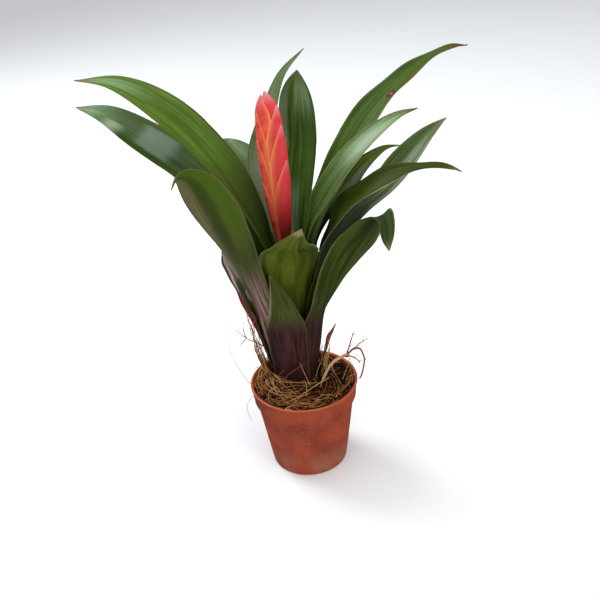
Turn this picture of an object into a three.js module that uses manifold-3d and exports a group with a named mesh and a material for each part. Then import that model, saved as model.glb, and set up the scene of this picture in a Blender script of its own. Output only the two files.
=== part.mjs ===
// Flaming sword bromeliad in a 6 cm nursery pot: a rosette of strap leaves whose
// sheaths wrap a short stem, a flat red flower spike, potting mix, coir and roots.
// Millimetres, +Z up. The origin is the centre of the pot's underside.

import * as THREE from 'three';
import { mergeVertices } from 'three/addons/utils/BufferGeometryUtils.js';
import Module from 'manifold-3d';

const wasm = await Module();
wasm.setup();

// Driving dimensions
const POT_HEIGHT = 52;
const RIM_RADIUS = 30;
const BASE_RADIUS = 21.5;
const BAND_HEIGHT = 10;
const POT_WALL = 1.2;
const FLOOR = 1.6;
const DRAIN_HOLES = 5;
const DRAIN_RADIUS = 2;
const DRAIN_CIRCLE = 13;
const POT_SIDES = 36;

const SOIL_LEVEL = 49.6;
const SOIL_SIDES = 24;
const GAP = 0.3;

// The plant stands a little behind and left of the pot's middle
const PLANT_X = -4.5;
const PLANT_Y = 6;
const STEM_HOLE_RADIUS = 13.9;
const STEM_FOOT_RADIUS = 12.2;
const STEM_FOOT_Z = 38;

// The leaf sheaths nest in layers about the stem, 0 inmost
const LAYERS = 9;
const COLLAR_Z = 52;
const CUP_Z = 90;
const COLLAR_RADIUS = 3.4;
const COLLAR_STEP = 1.22;
const CUP_RADIUS = 4.3;
const CUP_STEP = 2.05;
const LOWEST_SHEATH_Z = 48;
const SHEATH_Z_STEP = 2;
const SHEATH_ARC = 130;

const SHEATH_THICKNESS = 0.7;
const TIP_THICKNESS = 0.6;
const SHEATH_ROWS = 3;
const ROW_LENGTH = 11.5;
const MOST_ROWS = 12;
const COLUMNS = 6;
const CURVE_STEPS = 24;

const DEG = Math.PI / 180;
const UP = new THREE.Vector3(0, 0, 1);

const COLOURS = {
  pot: 0xa8452a,
  mix: 0x2e2018,
  coir: 0x9a6a35,
  root: 0xc48a62,
  stem: 0x5a4436,
  spike: 0xd8343a,
  leaf: 0x47701f,
  oldLeaf: 0x55602b,
};

// Each leaf: the way it points (azimuth in degrees, 0 right, 90 back), its layer, the height
// where its blade leaves the cup, its midrib as [distance from the plant's axis, height, shift
// to its left], widest blade, cross-section arc and roll in degrees from throat to tip.
const LEAVES = [
  {
    name: 'leaf_back_twisted', azimuth: 90, layer: 0, throat: 112, width: 17,
    midrib: [[9.5, 134, -1], [13.5, 150, 3], [19, 174, 8], [24, 197, 1], [27, 214, -7], [29, 225, -19]],
    arc: [110, 70, 60, 80, 100], roll: [0], belly: 0.35, neck: 0.7, point: 1.1,
  },
  {
    name: 'leaf_back_upright', azimuth: 50, layer: 1, throat: 112, width: 23.5, sheath: 104,
    midrib: [[10, 130], [13, 148], [17.5, 168], [21, 184], [22, 200], [22.5, 217.5]],
    arc: [95, 60, 40, 40, 50], roll: [0], belly: 0.68, neck: 0.76, point: 4,
  },
  {
    name: 'leaf_left_upper', azimuth: 160, layer: 1, throat: 116, width: 22.5, sheath: 104,
    midrib: [[9.3, 132, 2.2], [14, 150, 3.5], [30, 176.5, 1], [55, 202], [80, 215.5], [104, 217.5]],
    arc: [100, 80, 50, 40, 50], roll: [0, -15, -20, -10], belly: 0.55, neck: 0.75, point: 2,
  },
  {
    name: 'leaf_right_tall', azimuth: 36, layer: 3, throat: 112, width: 17.5, sheath: 116,
    midrib: [
      [15.5, 127], [24, 143], [37, 159.5], [52, 178.5],
      [74, 194.5], [101, 205], [122, 209], [139, 207],
    ],
    arc: [90, 70, 50, 40, 40], roll: [0, 10, 15, 15], belly: 0.45, neck: 0.8, point: 1.3,
    wave: [0.7, 5, 0.2],
  },
  {
    name: 'leaf_front_shield', azimuth: 275, layer: 4, throat: 104, width: 31, sheath: 96,
    midrib: [[19, 121, 0.3], [25.5, 133, 0.7], [35, 143], [46, 152], [58, 167, 4]],
    arc: [100, 80, 70, 60, 60], roll: [0], belly: 0.45, neck: 0.8, point: 1.3,
  },
  {
    name: 'leaf_right_striped', azimuth: 12, layer: 2, throat: 110, width: 18, sheath: 120,
    midrib: [[11.5, 127], [15, 142], [21, 152], [33, 168], [48, 182], [64, 191.5], [74.5, 194]],
    arc: [100, 70, 50, 50, 60], roll: [0, 10, 15], belly: 0.55, neck: 0.75, point: 1.7,
  },
  {
    name: 'leaf_left_lower', azimuth: 154, layer: 3, throat: 106, width: 23, sheath: 120,
    midrib: [[16, 130], [31, 153], [52, 171.5], [78, 187], [97, 196.5], [115, 200]],
    arc: [105, 75, 50, 50, 60], roll: [0, -15, -20, -15], belly: 0.6, neck: 0.8, point: 2.4,
  },
  {
    name: 'leaf_right_narrow', azimuth: 30, layer: 4, throat: 104, width: 18, sheath: 110,
    midrib: [[16, 118, 1], [18.8, 131, 2.2], [28.5, 144, 2], [40, 152.5], [52, 162], [67, 168], [79, 167]],
    arc: [100, 62, 60, 60, 60], roll: [0, 10, 10], belly: 0.5, neck: 0.6, point: 1.2,
  },
  {
    name: 'leaf_right_wavy', azimuth: 350, layer: 5, throat: 102, width: 23, sheath: 105,
    midrib: [
      [19.5, 118], [23.5, 134], [29.5, 147.5], [39, 157.5],
      [51, 166.5], [67, 172.5], [79, 174], [90, 170.5],
    ],
    arc: [92, 56, 60, 60, 60], roll: [0, 4, 18, 6], belly: 0.4, neck: 0.8, point: 1.2,
    wave: [0.8, 4, 0.1],
  },
  {
    name: 'leaf_left_back', azimuth: 120, layer: 5, throat: 102, width: 18,
    midrib: [[18.5, 118], [22.2, 139, -0.9], [28.4, 158, -3.2], [36, 171, -3], [46, 176.5], [58, 176]],
    arc: [80, 60, 50, 60], roll: [0, -10, -10], belly: 0.5, neck: 0.8, point: 1.6,
  },
  {
    name: 'leaf_front_left', azimuth: 216, layer: 6, throat: 96, width: 29,
    midrib: [[20.2, 106], [27.3, 128], [34.5, 149], [41.5, 168], [48, 182], [54, 186], [59, 181.5]],
    arc: [80, 70, 60, 55, 50], roll: [0, 10, 30, 38], belly: 0.6, neck: 0.75, point: 2.6,
  },
  {
    name: 'leaf_right_back', azimuth: 17, layer: 6, throat: 98, width: 20,
    midrib: [[23, 115], [31, 130], [44, 144], [60, 155], [72, 166], [84, 177], [94, 184]],
    arc: [75, 60, 50, 60, 80], roll: [0, 10, 15], belly: 0.68, neck: 0.6, point: 1.8,
  },
  {
    name: 'leaf_front_short', azimuth: 262, layer: 8, throat: 92, width: 19, sheath: 84,
    midrib: [[23, 105], [25.5, 118, -1.5], [28, 130, -4]],
    arc: [60, 50, 50, 50], roll: [0], belly: 0.1, neck: 1, point: 1.2,
  },
  {
    name: 'leaf_back_low_right', azimuth: 70, layer: 7, throat: 94, width: 20, sheath: 110,
    midrib: [[25, 112], [34, 126], [46, 136], [58, 138], [68, 134]],
    arc: [70, 60, 50, 50], roll: [0], belly: 0.5, neck: 0.8, point: 1.8,
  },
  {
    name: 'leaf_front_right', azimuth: 325, layer: 7, throat: 94, width: 25.5, sheath: 78,
    midrib: [
      [24.6, 105], [30.2, 118, 0.4], [38.4, 133, 0.8], [48, 147, 0.8],
      [54.5, 157, 0.8], [58, 158.8, 0.4], [60, 151.5], [61.5, 141.5],
    ],
    arc: [68, 55, 40, 45, 50], roll: [0, -12, -25, -30, -8, 32], belly: 0.5, neck: 0.76, point: 2.2,
    rows: 14,
  },
  {
    name: 'leaf_left_stub', azimuth: 186, layer: 7, throat: 92, width: 9, sheath: 45,
    midrib: [[22.5, 106], [26, 117.5], [30, 128], [32.5, 134]],
    arc: [26, 60, 60], roll: [0, -50, -50], belly: 0.2, neck: 0.9, point: 1,
  },
  {
    name: 'leaf_back_low_left', azimuth: 110, layer: 8, throat: 92, width: 20, sheath: 85,
    midrib: [[27, 110], [37, 124], [48, 134], [60, 138], [70, 137]],
    arc: [60, 55, 50, 50], roll: [0], belly: 0.5, neck: 0.8, point: 1.8,
  },
];

// ---------- shared helpers ----------

// Repeatable random numbers from 0 to 1
function seeded(seed) {
  let state = seed;
  return () => {
    state = (state + 0x6d2b79f5) | 0;
    let t = Math.imul(state ^ (state >>> 15), 1 | state);
    t = (t + Math.imul(t ^ (t >>> 7), 61 | t)) ^ t;
    return ((t ^ (t >>> 14)) >>> 0) / 4294967296;
  };
}

function smooth(t) {
  const x = THREE.MathUtils.clamp(t, 0, 1);
  return x * x * (3 - 2 * x);
}

// Smooth value at t along evenly spaced keys
function keyed(keys, t) {
  const last = keys.length - 1;
  if (last === 0) return keys[0];
  const x = THREE.MathUtils.clamp(t, 0, 1) * last;
  const i = Math.min(Math.floor(x), last - 1);
  const k = x - i;
  const a = keys[Math.max(i - 1, 0)];
  const b = keys[i];
  const c = keys[i + 1];
  const d = keys[Math.min(i + 2, last)];
  const bend = (2 * a - 5 * b + 4 * c - d) * k * k + (3 * b - a - 3 * c + d) * k * k * k;
  return 0.5 * (2 * b + (c - a) * k + bend);
}

function geometryOf(points, faces) {
  const geometry = new THREE.BufferGeometry();
  geometry.setAttribute('position', new THREE.Float32BufferAttribute(points.flat(), 3));
  geometry.setIndex(faces.flat());
  return geometry;
}

function toManifold(geometry) {
  const bare = geometry.clone();
  bare.deleteAttribute('normal');
  bare.deleteAttribute('uv');
  const merged = mergeVertices(bare, 1e-4);
  return new wasm.Manifold(new wasm.Mesh({
    numProp: 3,
    vertProperties: new Float32Array(merged.attributes.position.array),
    triVerts: new Uint32Array(merged.index.array),
  }));
}

function fromManifold(solid) {
  const mesh = solid.getMesh();
  const geometry = new THREE.BufferGeometry();
  geometry.setAttribute('position', new THREE.BufferAttribute(mesh.vertProperties, 3));
  geometry.setIndex(new THREE.BufferAttribute(mesh.triVerts, 1));
  return geometry;
}

// The largest body of a solid, without loose scraps
function mainBody(solid) {
  const bodies = solid.decompose();
  bodies.sort((a, b) => b.volume() - a.volume());
  return bodies[0];
}

// Solid through a list of rings, each a list of [x, y, z] counter-clockwise seen from its end
function loft(rings) {
  const sides = rings[0].length;
  const points = rings.flat();
  const faces = [];
  for (let i = 0; i < rings.length - 1; i += 1) {
    for (let j = 0; j < sides; j += 1) {
      const a = i * sides + j;
      const b = i * sides + (j + 1) % sides;
      faces.push([a, b, b + sides], [a, b + sides, a + sides]);
    }
  }
  const end = (rings.length - 1) * sides;
  for (let j = 1; j < sides - 1; j += 1) {
    faces.push([0, j + 1, j], [end, end + j, end + j + 1]);
  }
  return geometryOf(points, faces);
}

// Round solid about the Z axis: profile of [radius, height] from the axis below to the axis above
function turned(profile, sides, shape = (x, y, z) => z) {
  const points = [[0, 0, shape(0, 0, profile[0][1])]];
  for (const [radius, height] of profile.slice(1, -1)) {
    for (let j = 0; j < sides; j += 1) {
      const angle = j / sides * 2 * Math.PI;
      const x = radius * Math.cos(angle);
      const y = radius * Math.sin(angle);
      points.push([x, y, shape(x, y, height)]);
    }
  }
  points.push([0, 0, shape(0, 0, profile.at(-1)[1])]);
  const faces = [];
  const top = points.length - 1;
  for (let j = 0; j < sides; j += 1) {
    const next = (j + 1) % sides;
    faces.push([0, 1 + next, 1 + j]);
    for (let i = 0; i < profile.length - 3; i += 1) {
      const a = 1 + i * sides;
      faces.push([a + j, a + next, a + sides + next], [a + j, a + sides + next, a + sides + j]);
    }
    faces.push([top - sides + j, top - sides + next, top]);
  }
  return geometryOf(points, faces);
}

// Few-sided tube through hand-placed points, tapering from one radius to another
function strand(points, startRadius, endRadius, steps, sides) {
  const curve = new THREE.CatmullRomCurve3(points.map((p) => new THREE.Vector3(...p)));
  const frames = curve.computeFrenetFrames(steps, false);
  const rings = [];
  for (let i = 0; i <= steps; i += 1) {
    const centre = curve.getPointAt(i / steps);
    const radius = THREE.MathUtils.lerp(startRadius, endRadius, i / steps);
    const ring = [];
    for (let j = 0; j < sides; j += 1) {
      const angle = j / sides * 2 * Math.PI;
      const p = centre.clone()
        .addScaledVector(frames.normals[i], radius * Math.cos(angle))
        .addScaledVector(frames.binormals[i], radius * Math.sin(angle));
      ring.push(p.toArray());
    }
    rings.push(ring);
  }
  return loft(rings);
}

// ---------- the pot ----------

function potOuterRadius(z) {
  const step = POT_HEIGHT - BAND_HEIGHT;
  if (z < step) return BASE_RADIUS + 5.9 * z / step;
  return 28.7 + 0.8 * (z - step) / BAND_HEIGHT;
}

function potInnerRadius(z) {
  return potOuterRadius(z) - POT_WALL;
}

function buildPot() {
  const step = POT_HEIGHT - BAND_HEIGHT;
  const lip = 1.1;
  const profile = [
    [0, 0],
    [BASE_RADIUS - 0.8, 0],
    [BASE_RADIUS, 0.8],
    [potOuterRadius(step - 0.9), step - 0.9],
    [potOuterRadius(step), step],
    [potOuterRadius(POT_HEIGHT - lip), POT_HEIGHT - lip],
    [RIM_RADIUS, POT_HEIGHT - 0.8 * lip],
    [RIM_RADIUS, POT_HEIGHT - 0.2 * lip],
    [RIM_RADIUS - 0.4, POT_HEIGHT],
    [RIM_RADIUS - 1, POT_HEIGHT],
    [potInnerRadius(POT_HEIGHT - lip), POT_HEIGHT - lip],
    [potInnerRadius(step + 0.6), step + 0.6],
    [potInnerRadius(step - 0.6), step - 0.6],
    [potInnerRadius(FLOOR + 1), FLOOR + 1],
    [potInnerRadius(FLOOR + 1) - 1, FLOOR],
    [0, FLOOR],
  ];
  let pot = toManifold(turned(profile, POT_SIDES));
  for (let i = 0; i < DRAIN_HOLES; i += 1) {
    const angle = (i + 0.5) / DRAIN_HOLES * 2 * Math.PI;
    const hole = new THREE.CylinderGeometry(DRAIN_RADIUS, DRAIN_RADIUS, 3 * FLOOR, 10);
    hole.rotateX(Math.PI / 2);
    hole.translate(DRAIN_CIRCLE * Math.cos(angle), DRAIN_CIRCLE * Math.sin(angle), 0);
    pot = pot.subtract(toManifold(hole));
  }
  return fromManifold(pot);
}

// ---------- potting mix and coir ----------

// Uneven top of the potting mix, heaped towards the stem
function mixTop(x, y) {
  const fromStem = Math.hypot(x - PLANT_X, y - PLANT_Y);
  const heap = 2 * Math.exp(-(((fromStem - 12) / 9) ** 2));
  const lumps = 0.45 * Math.sin(0.55 * x + 0.3) * Math.cos(0.6 * y - 0.8);
  const ripples = 0.25 * Math.sin(0.9 * y + 0.5 * x);
  return SOIL_LEVEL + heap + lumps + ripples;
}

function stemHole(radius, bottom, top, flare) {
  const hole = turned([[0, bottom], [radius, bottom], [radius + flare, top], [0, top]], 24);
  hole.translate(PLANT_X, PLANT_Y, 0);
  return toManifold(hole);
}

function buildPottingMix() {
  const clear = GAP + 0.1;
  const step = POT_HEIGHT - BAND_HEIGHT;
  const edge = potInnerRadius(SOIL_LEVEL) - clear;
  const bottom = FLOOR + GAP;
  const profile = [
    [0, bottom],
    [potInnerRadius(FLOOR) - 1.4 - clear, bottom],
    [potInnerRadius(FLOOR + 1.4) - clear, bottom + 1.4],
    [potInnerRadius(step - 1) - clear, step - 1],
    [potInnerRadius(step) - 1.2 - clear, step + 1],
    [potInnerRadius(step + 2) - clear, step + 2],
    [edge, SOIL_LEVEL],
    [edge - 3.5, SOIL_LEVEL],
    [edge - 8, SOIL_LEVEL],
    [edge - 13, SOIL_LEVEL],
    [edge - 19, SOIL_LEVEL],
    [0, SOIL_LEVEL],
  ];
  const shape = (x, y, z) => (z === SOIL_LEVEL ? mixTop(x, y) : z);
  const mix = toManifold(turned(profile, SOIL_SIDES, shape));
  return fromManifold(mix.subtract(stemHole(STEM_HOLE_RADIUS, STEM_FOOT_Z - GAP, 70, 0)));
}

// Thickness of the coir mat on the mix: heaped against the foot of the plant, thin at the back right
function matDepth(x, y) {
  const nest = 1.3 * Math.exp(-(((x + 14) ** 2 + (y + 10) ** 2) / 220));
  const fromStem = Math.hypot(x - PLANT_X, y - PLANT_Y);
  const heap = HEAP_HEIGHT * Math.exp(-(((fromStem - 16) / 4.5) ** 2)) * smooth((7 - x) / 14);
  const lumps = 0.35 * Math.sin(0.8 * x - 0.4) * Math.sin(0.7 * y + 0.9);
  return 1.5 + nest + heap + lumps;
}

function matTop(x, y) {
  return mixTop(x, y) + GAP + matDepth(x, y);
}

const MAT_RADIUS = 26.6;
const MAT_SIDES = 30;
const ARCHED_FIBRES = 22;
const MAT_RINGS = [9, 13, 17, 20, 23];
const HEAP_HEIGHT = 5;

// Free radius round the plant's axis: the sheaths never reach it
function clearOfSheaths(z) {
  return STEM_HOLE_RADIUS + 0.8 + 0.21 * Math.max(z - COLLAR_Z, 0);
}

function coirMat() {
  const under = SOIL_LEVEL - 3;
  const profile = [[0, under], [MAT_RADIUS, under], [MAT_RADIUS, SOIL_LEVEL]];
  for (const radius of [...MAT_RINGS].reverse()) profile.push([radius, SOIL_LEVEL]);
  profile.push([0, SOIL_LEVEL]);
  const shape = (x, y, z) => (z === SOIL_LEVEL ? matTop(x, y) : z);
  return toManifold(turned(profile, MAT_SIDES, shape));
}

// One loose fibre: an arch over the mat with both ends sunk in it
function archedFibre(random) {
  const angle = random() * 2 * Math.PI;
  const radius = 12 + 11.5 * Math.sqrt(random());
  const heading = angle + 90 * DEG + (random() - 0.5) * 2.2;
  const half = 3.5 + 4.5 * random();
  const lift = 0.8 + 2 * random();
  const centre = [1.5 + radius * Math.cos(angle), radius * Math.sin(angle)];
  const bow = (random() - 0.5) * 6;
  return [-1, -0.45, 0.4, 1].map((t) => {
    const side = bow * (1 - t * t);
    const x = centre[0] + half * t * Math.cos(heading) - side * Math.sin(heading);
    const y = centre[1] + half * t * Math.sin(heading) + side * Math.cos(heading);
    const height = Math.abs(t) === 1 ? -1 : lift;
    return [x, y, matTop(x, y) + height];
  });
}

function fits(points) {
  return points.every(([x, y, z]) => {
    const fromStem = Math.hypot(x - PLANT_X, y - PLANT_Y);
    const fromMiddle = Math.hypot(x, y);
    const nearRoots = x > 6 && y > -9;
    return fromStem > clearOfSheaths(z) + 0.8 && fromMiddle < MAT_RADIUS - 0.8 && !nearRoots;
  });
}

// Fibres that climb beside the sheaths on the left and back, [azimuth, top height, lean]
const CLIMBING = [
  [172, 96, 3], [181, 84, 5], [166, 78, -4], [186, 72, 2], [160, 68, 6], [352, 70, -3], [20, 66, 4],
];

function climbingFibre([azimuth, top, lean]) {
  return [0, 0.25, 0.5, 0.75, 1].map((t) => {
    const z = THREE.MathUtils.lerp(53, top, t);
    const angle = (azimuth + 2 * lean * t) * DEG;
    const radius = clearOfSheaths(z) + 1.8 + Math.sin(azimuth + 5 * t) * Math.sin(Math.PI * t);
    return [PLANT_X + radius * Math.cos(angle), PLANT_Y + radius * Math.sin(angle), z];
  });
}

// The mat and its fibres, cut to lie on the mix and to leave the stem free
function buildCoir(mixGeometry) {
  const random = seeded(41);
  const fibres = [coirMat()];
  while (fibres.length <= ARCHED_FIBRES) {
    const points = archedFibre(random);
    if (fits(points)) fibres.push(toManifold(strand(points, 0.45, 0.45, 4, 3)));
  }
  for (const fibre of CLIMBING) {
    fibres.push(toManifold(strand(climbingFibre(fibre), 0.45, 0.3, 7, 3)));
  }
  const mix = toManifold(mixGeometry.clone().translate(0, 0, GAP));
  const hole = stemHole(clearOfSheaths(COLLAR_Z), 40, 70, 3.8);
  return fromManifold(mainBody(wasm.Manifold.union(fibres).subtract(mix).subtract(hole)));
}

// ---------- roots over the rim ----------

// [points, start radius, end radius]: a pale root along the coir, then thin red ones over the rim
const KNOT = [25.6, 12.9, 56.55];
const ROOTS = [
  [[[9.5, -6, 54.15], [13, -1, 54.15], [18, 6.5, 54.95], [23, 11, 55.95], [26.5, 13.5, 56.85]], 0.9, 1.1],
  [
    [[25.5, 12.8, 56.55], [29.5, 12, 61], [33, 8.6, 62.6], [34.8, 5.6, 58], [33.6, 3.4, 52], [31.6, 2.4, 47]],
    0.8, 0.6,
  ],
  [[[25, 12.5, 56.35], [27.5, 15, 61], [29.4, 16.7, 66], [30.4, 17.6, 69]], 0.8, 0.45],
  [[[25.4, 12.9, 56.55], [31, 15, 60.4], [38.6, 17.2, 64.2]], 0.8, 0.45],
  [[[24.6, 12, 56.25], [28, 7.5, 59], [31.5, 5.5, 57], [32.4, 7, 54.4]], 0.7, 0.5],
];

function buildRoots() {
  const roots = ROOTS.map(([points, start, end]) => toManifold(strand(points, start, end, 7, 5)));
  const knot = new THREE.IcosahedronGeometry(1.5, 0);
  knot.scale(1.3, 1, 0.9);
  knot.translate(...KNOT);
  roots.push(toManifold(knot));
  return fromManifold(mainBody(wasm.Manifold.union(roots)));
}

// ---------- stem and leaves ----------

function sheathRadius(layer, z) {
  const t = THREE.MathUtils.clamp((z - COLLAR_Z) / (CUP_Z - COLLAR_Z), -0.4, 1.6);
  const foot = COLLAR_RADIUS + COLLAR_STEP * layer;
  const cup = CUP_RADIUS + CUP_STEP * layer;
  return foot + (cup - foot) * t;
}

function sheathBase(layer) {
  return LOWEST_SHEATH_Z + (LAYERS - 1 - layer) * SHEATH_Z_STEP;
}

// Stepped short stem: each layer of sheaths stands on its own tread
function buildStem() {
  const flat = Math.cos(13 * DEG);
  const inside = (layer, z) => (sheathRadius(layer, z) - SHEATH_THICKNESS / 2) * flat - GAP;
  const profile = [
    [0, STEM_FOOT_Z],
    [STEM_FOOT_RADIUS - 1.5, STEM_FOOT_Z],
    [STEM_FOOT_RADIUS, STEM_FOOT_Z + 2],
    [STEM_HOLE_RADIUS - 0.6, STEM_FOOT_Z + 6],
  ];
  for (let layer = LAYERS - 1; layer >= 0; layer -= 1) {
    const tread = sheathBase(layer) - GAP;
    if (layer < LAYERS - 1) profile.push([inside(layer + 1, tread), tread]);
    else profile.push([STEM_HOLE_RADIUS - 0.6, tread]);
    profile.push([inside(layer, tread), tread]);
  }
  const crown = sheathBase(0) + 1.5;
  profile.push([inside(0, crown), crown], [0, crown]);
  const stem = turned(profile, 20);
  stem.translate(PLANT_X, PLANT_Y, 0);
  return stem;
}

// Share of the full width along the blade: widest at the belly, drawn out to the tip
function bladeProfile(u, leaf) {
  if (u < leaf.belly) return leaf.neck + (1 - leaf.neck) * smooth(u / leaf.belly);
  const x = (u - leaf.belly) / (1 - leaf.belly);
  return 1 - x ** leaf.point + 0.02;
}

// Midrib from the foot of the sheath to the tip, and the share of it that is sheath
function leafMidrib(leaf, out, side) {
  const foot = sheathBase(leaf.layer);
  const heights = [foot, (foot + leaf.throat) / 2, leaf.throat];
  const path = heights.map((z) => [sheathRadius(leaf.layer, z), z, 0]).concat(leaf.midrib);
  const points = path.map(([reach, height, shift = 0]) => new THREE.Vector3(PLANT_X, PLANT_Y, height)
    .addScaledVector(out, reach)
    .addScaledVector(side, shift));
  const curve = new THREE.CatmullRomCurve3(points, false, 'centripetal');
  const line = curve.getPoints(CURVE_STEPS * (points.length - 1));
  const lengths = [0];
  for (let i = 1; i < line.length; i += 1) lengths.push(lengths[i - 1] + line[i].distanceTo(line[i - 1]));
  return { line, lengths, sheathShare: lengths[2 * CURVE_STEPS] / lengths.at(-1) };
}

function pointAt({ line, lengths }, share) {
  const wanted = share * lengths.at(-1);
  let i = 1;
  while (i < lengths.length - 1 && lengths[i] < wanted) i += 1;
  const k = (wanted - lengths[i - 1]) / (lengths[i] - lengths[i - 1]);
  return line[i - 1].clone().lerp(line[i], k);
}

// Frame, arc and width of the leaf's cross-section at one station
function leafSection(leaf, midrib, share, out, side) {
  const centre = pointAt(midrib, share);
  const before = pointAt(midrib, Math.max(share - 0.012, 0));
  const after = pointAt(midrib, Math.min(share + 0.012, 1));
  const along = after.sub(before).normalize();
  const inward = new THREE.Vector3(PLANT_X - centre.x, PLANT_Y - centre.y, 0);
  const fromAxis = inward.length();
  inward.normalize();
  const throatWidth = leaf.arc[0] * DEG * sheathRadius(leaf.layer, leaf.throat);
  const u = (share - midrib.sheathShare) / (1 - midrib.sheathShare);
  if (u <= 0) {
    const k = smooth(share / midrib.sheathShare);
    const arc = THREE.MathUtils.lerp(leaf.sheath ?? SHEATH_ARC, leaf.arc[0], k) * DEG;
    return { centre, across: side.clone(), up: inward, arc, bend: fromAxis, u: 0 };
  }
  const blend = smooth(u / 0.35);
  const width = THREE.MathUtils.lerp(throatWidth, leaf.width * bladeProfile(u, leaf), blend);
  const bend = Math.max(width / (Math.max(keyed(leaf.arc, u), 4) * DEG), 0.7);
  const across = side.clone().addScaledVector(along, -side.dot(along)).normalize();
  const face = new THREE.Vector3().crossVectors(along, across);
  const roll = keyed(leaf.roll, u) * DEG * smooth(u / 0.2);
  const up = face.clone().multiplyScalar(Math.cos(roll)).addScaledVector(across, -Math.sin(roll));
  across.multiplyScalar(Math.cos(roll)).addScaledVector(face, Math.sin(roll));
  up.lerp(inward, 1 - smooth(u / 0.22)).normalize();
  across.addScaledVector(up, -across.dot(up)).normalize();
  return { centre, across, up, arc: width / bend, bend, u };
}

// Margin ripple: the two margins rise and fall out of step
function ripple(leaf, u, v) {
  if (!leaf.wave) return 0;
  const [height, count, start] = leaf.wave;
  const phase = 2 * Math.PI * (count * u + start) + (v > 0 ? 2 : 0);
  return height * Math.sin(phase) * smooth(u / 0.3) * Math.abs(v) ** 2.5;
}

function buildLeaf(leaf) {
  const angle = leaf.azimuth * DEG;
  const out = new THREE.Vector3(Math.cos(angle), Math.sin(angle), 0);
  const side = new THREE.Vector3().crossVectors(UP, out);
  const midrib = leafMidrib(leaf, out, side);
  const shares = [];
  for (let i = 0; i < SHEATH_ROWS; i += 1) shares.push(midrib.sheathShare * i / SHEATH_ROWS);
  const bladeLength = midrib.lengths.at(-1) * (1 - midrib.sheathShare);
  const rows = leaf.rows ?? Math.min(Math.round(bladeLength / ROW_LENGTH), MOST_ROWS);
  for (let i = 0; i <= rows; i += 1) {
    shares.push(midrib.sheathShare + (1 - midrib.sheathShare) * i / rows);
  }
  const upper = [];
  const lower = [];
  for (const share of shares) {
    const { centre, across, up, arc, bend, u } = leafSection(leaf, midrib, share, out, side);
    const half = THREE.MathUtils.lerp(SHEATH_THICKNESS, TIP_THICKNESS, u) / 2;
    for (let j = 0; j <= COLUMNS; j += 1) {
      const v = 2 * j / COLUMNS - 1;
      const turn = v * arc / 2;
      const rise = bend * (1 - Math.cos(turn)) + ripple(leaf, u, v);
      const p = centre.clone().addScaledVector(across, bend * Math.sin(turn)).addScaledVector(up, rise);
      const n = up.clone().multiplyScalar(Math.cos(turn)).addScaledVector(across, -Math.sin(turn));
      upper.push(p.clone().addScaledVector(n, half).toArray());
      lower.push(p.clone().addScaledVector(n, -half).toArray());
    }
  }
  return geometryOf(upper.concat(lower), sheetFaces(shares.length - 1, COLUMNS));
}

// Faces of a thin sheet: upper and lower skins split alike, with its four edges closed
function sheetFaces(rows, columns) {
  const faces = [];
  const below = (rows + 1) * (columns + 1);
  const at = (i, j) => i * (columns + 1) + j;
  for (let i = 0; i < rows; i += 1) {
    for (let j = 0; j < columns; j += 1) {
      const [a, b, c, d] = [at(i, j), at(i + 1, j), at(i + 1, j + 1), at(i, j + 1)];
      faces.push([a, b, c], [a, c, d]);
      faces.push([below + a, below + c, below + b], [below + a, below + d, below + c]);
    }
    const [a, b] = [at(i, 0), at(i + 1, 0)];
    faces.push([a, below + a, below + b], [a, below + b, b]);
    const [c, d] = [at(i, columns), at(i + 1, columns)];
    faces.push([c, below + d, below + c], [c, d, below + d]);
  }
  for (let j = 0; j < columns; j += 1) {
    const [a, b] = [at(0, j), at(0, j + 1)];
    faces.push([a, b, below + b], [a, below + b, below + a]);
    const [c, d] = [at(rows, j), at(rows, j + 1)];
    faces.push([c, below + d, d], [c, below + c, below + d]);
  }
  return faces;
}

// ---------- flower spike ----------

const SPIKE_FOOT = [PLANT_X, PLANT_Y, sheathBase(0) + 1.5 + GAP];
const SPIKE_START = [-3.9, PLANT_Y, 132];
const SPIKE_TIP = [-6.4, PLANT_Y, 213];
const BRACTS = 12;
const BRACT_LENGTH = 36;
const SPIKE_HALF_WIDTH = 7.3;
const SPIKE_HALF_DEPTH = 3.6;

// Half width of the whole spike at height share t, 0 at its start and 1 at its tip
function spikeHalfWidth(t) {
  const swell = Math.sin(Math.PI * THREE.MathUtils.clamp(0.13 + 0.72 * t, 0, 1)) ** 0.9;
  return SPIKE_HALF_WIDTH * swell * (1 - 0.35 * smooth((t - 0.8) / 0.2));
}

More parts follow.
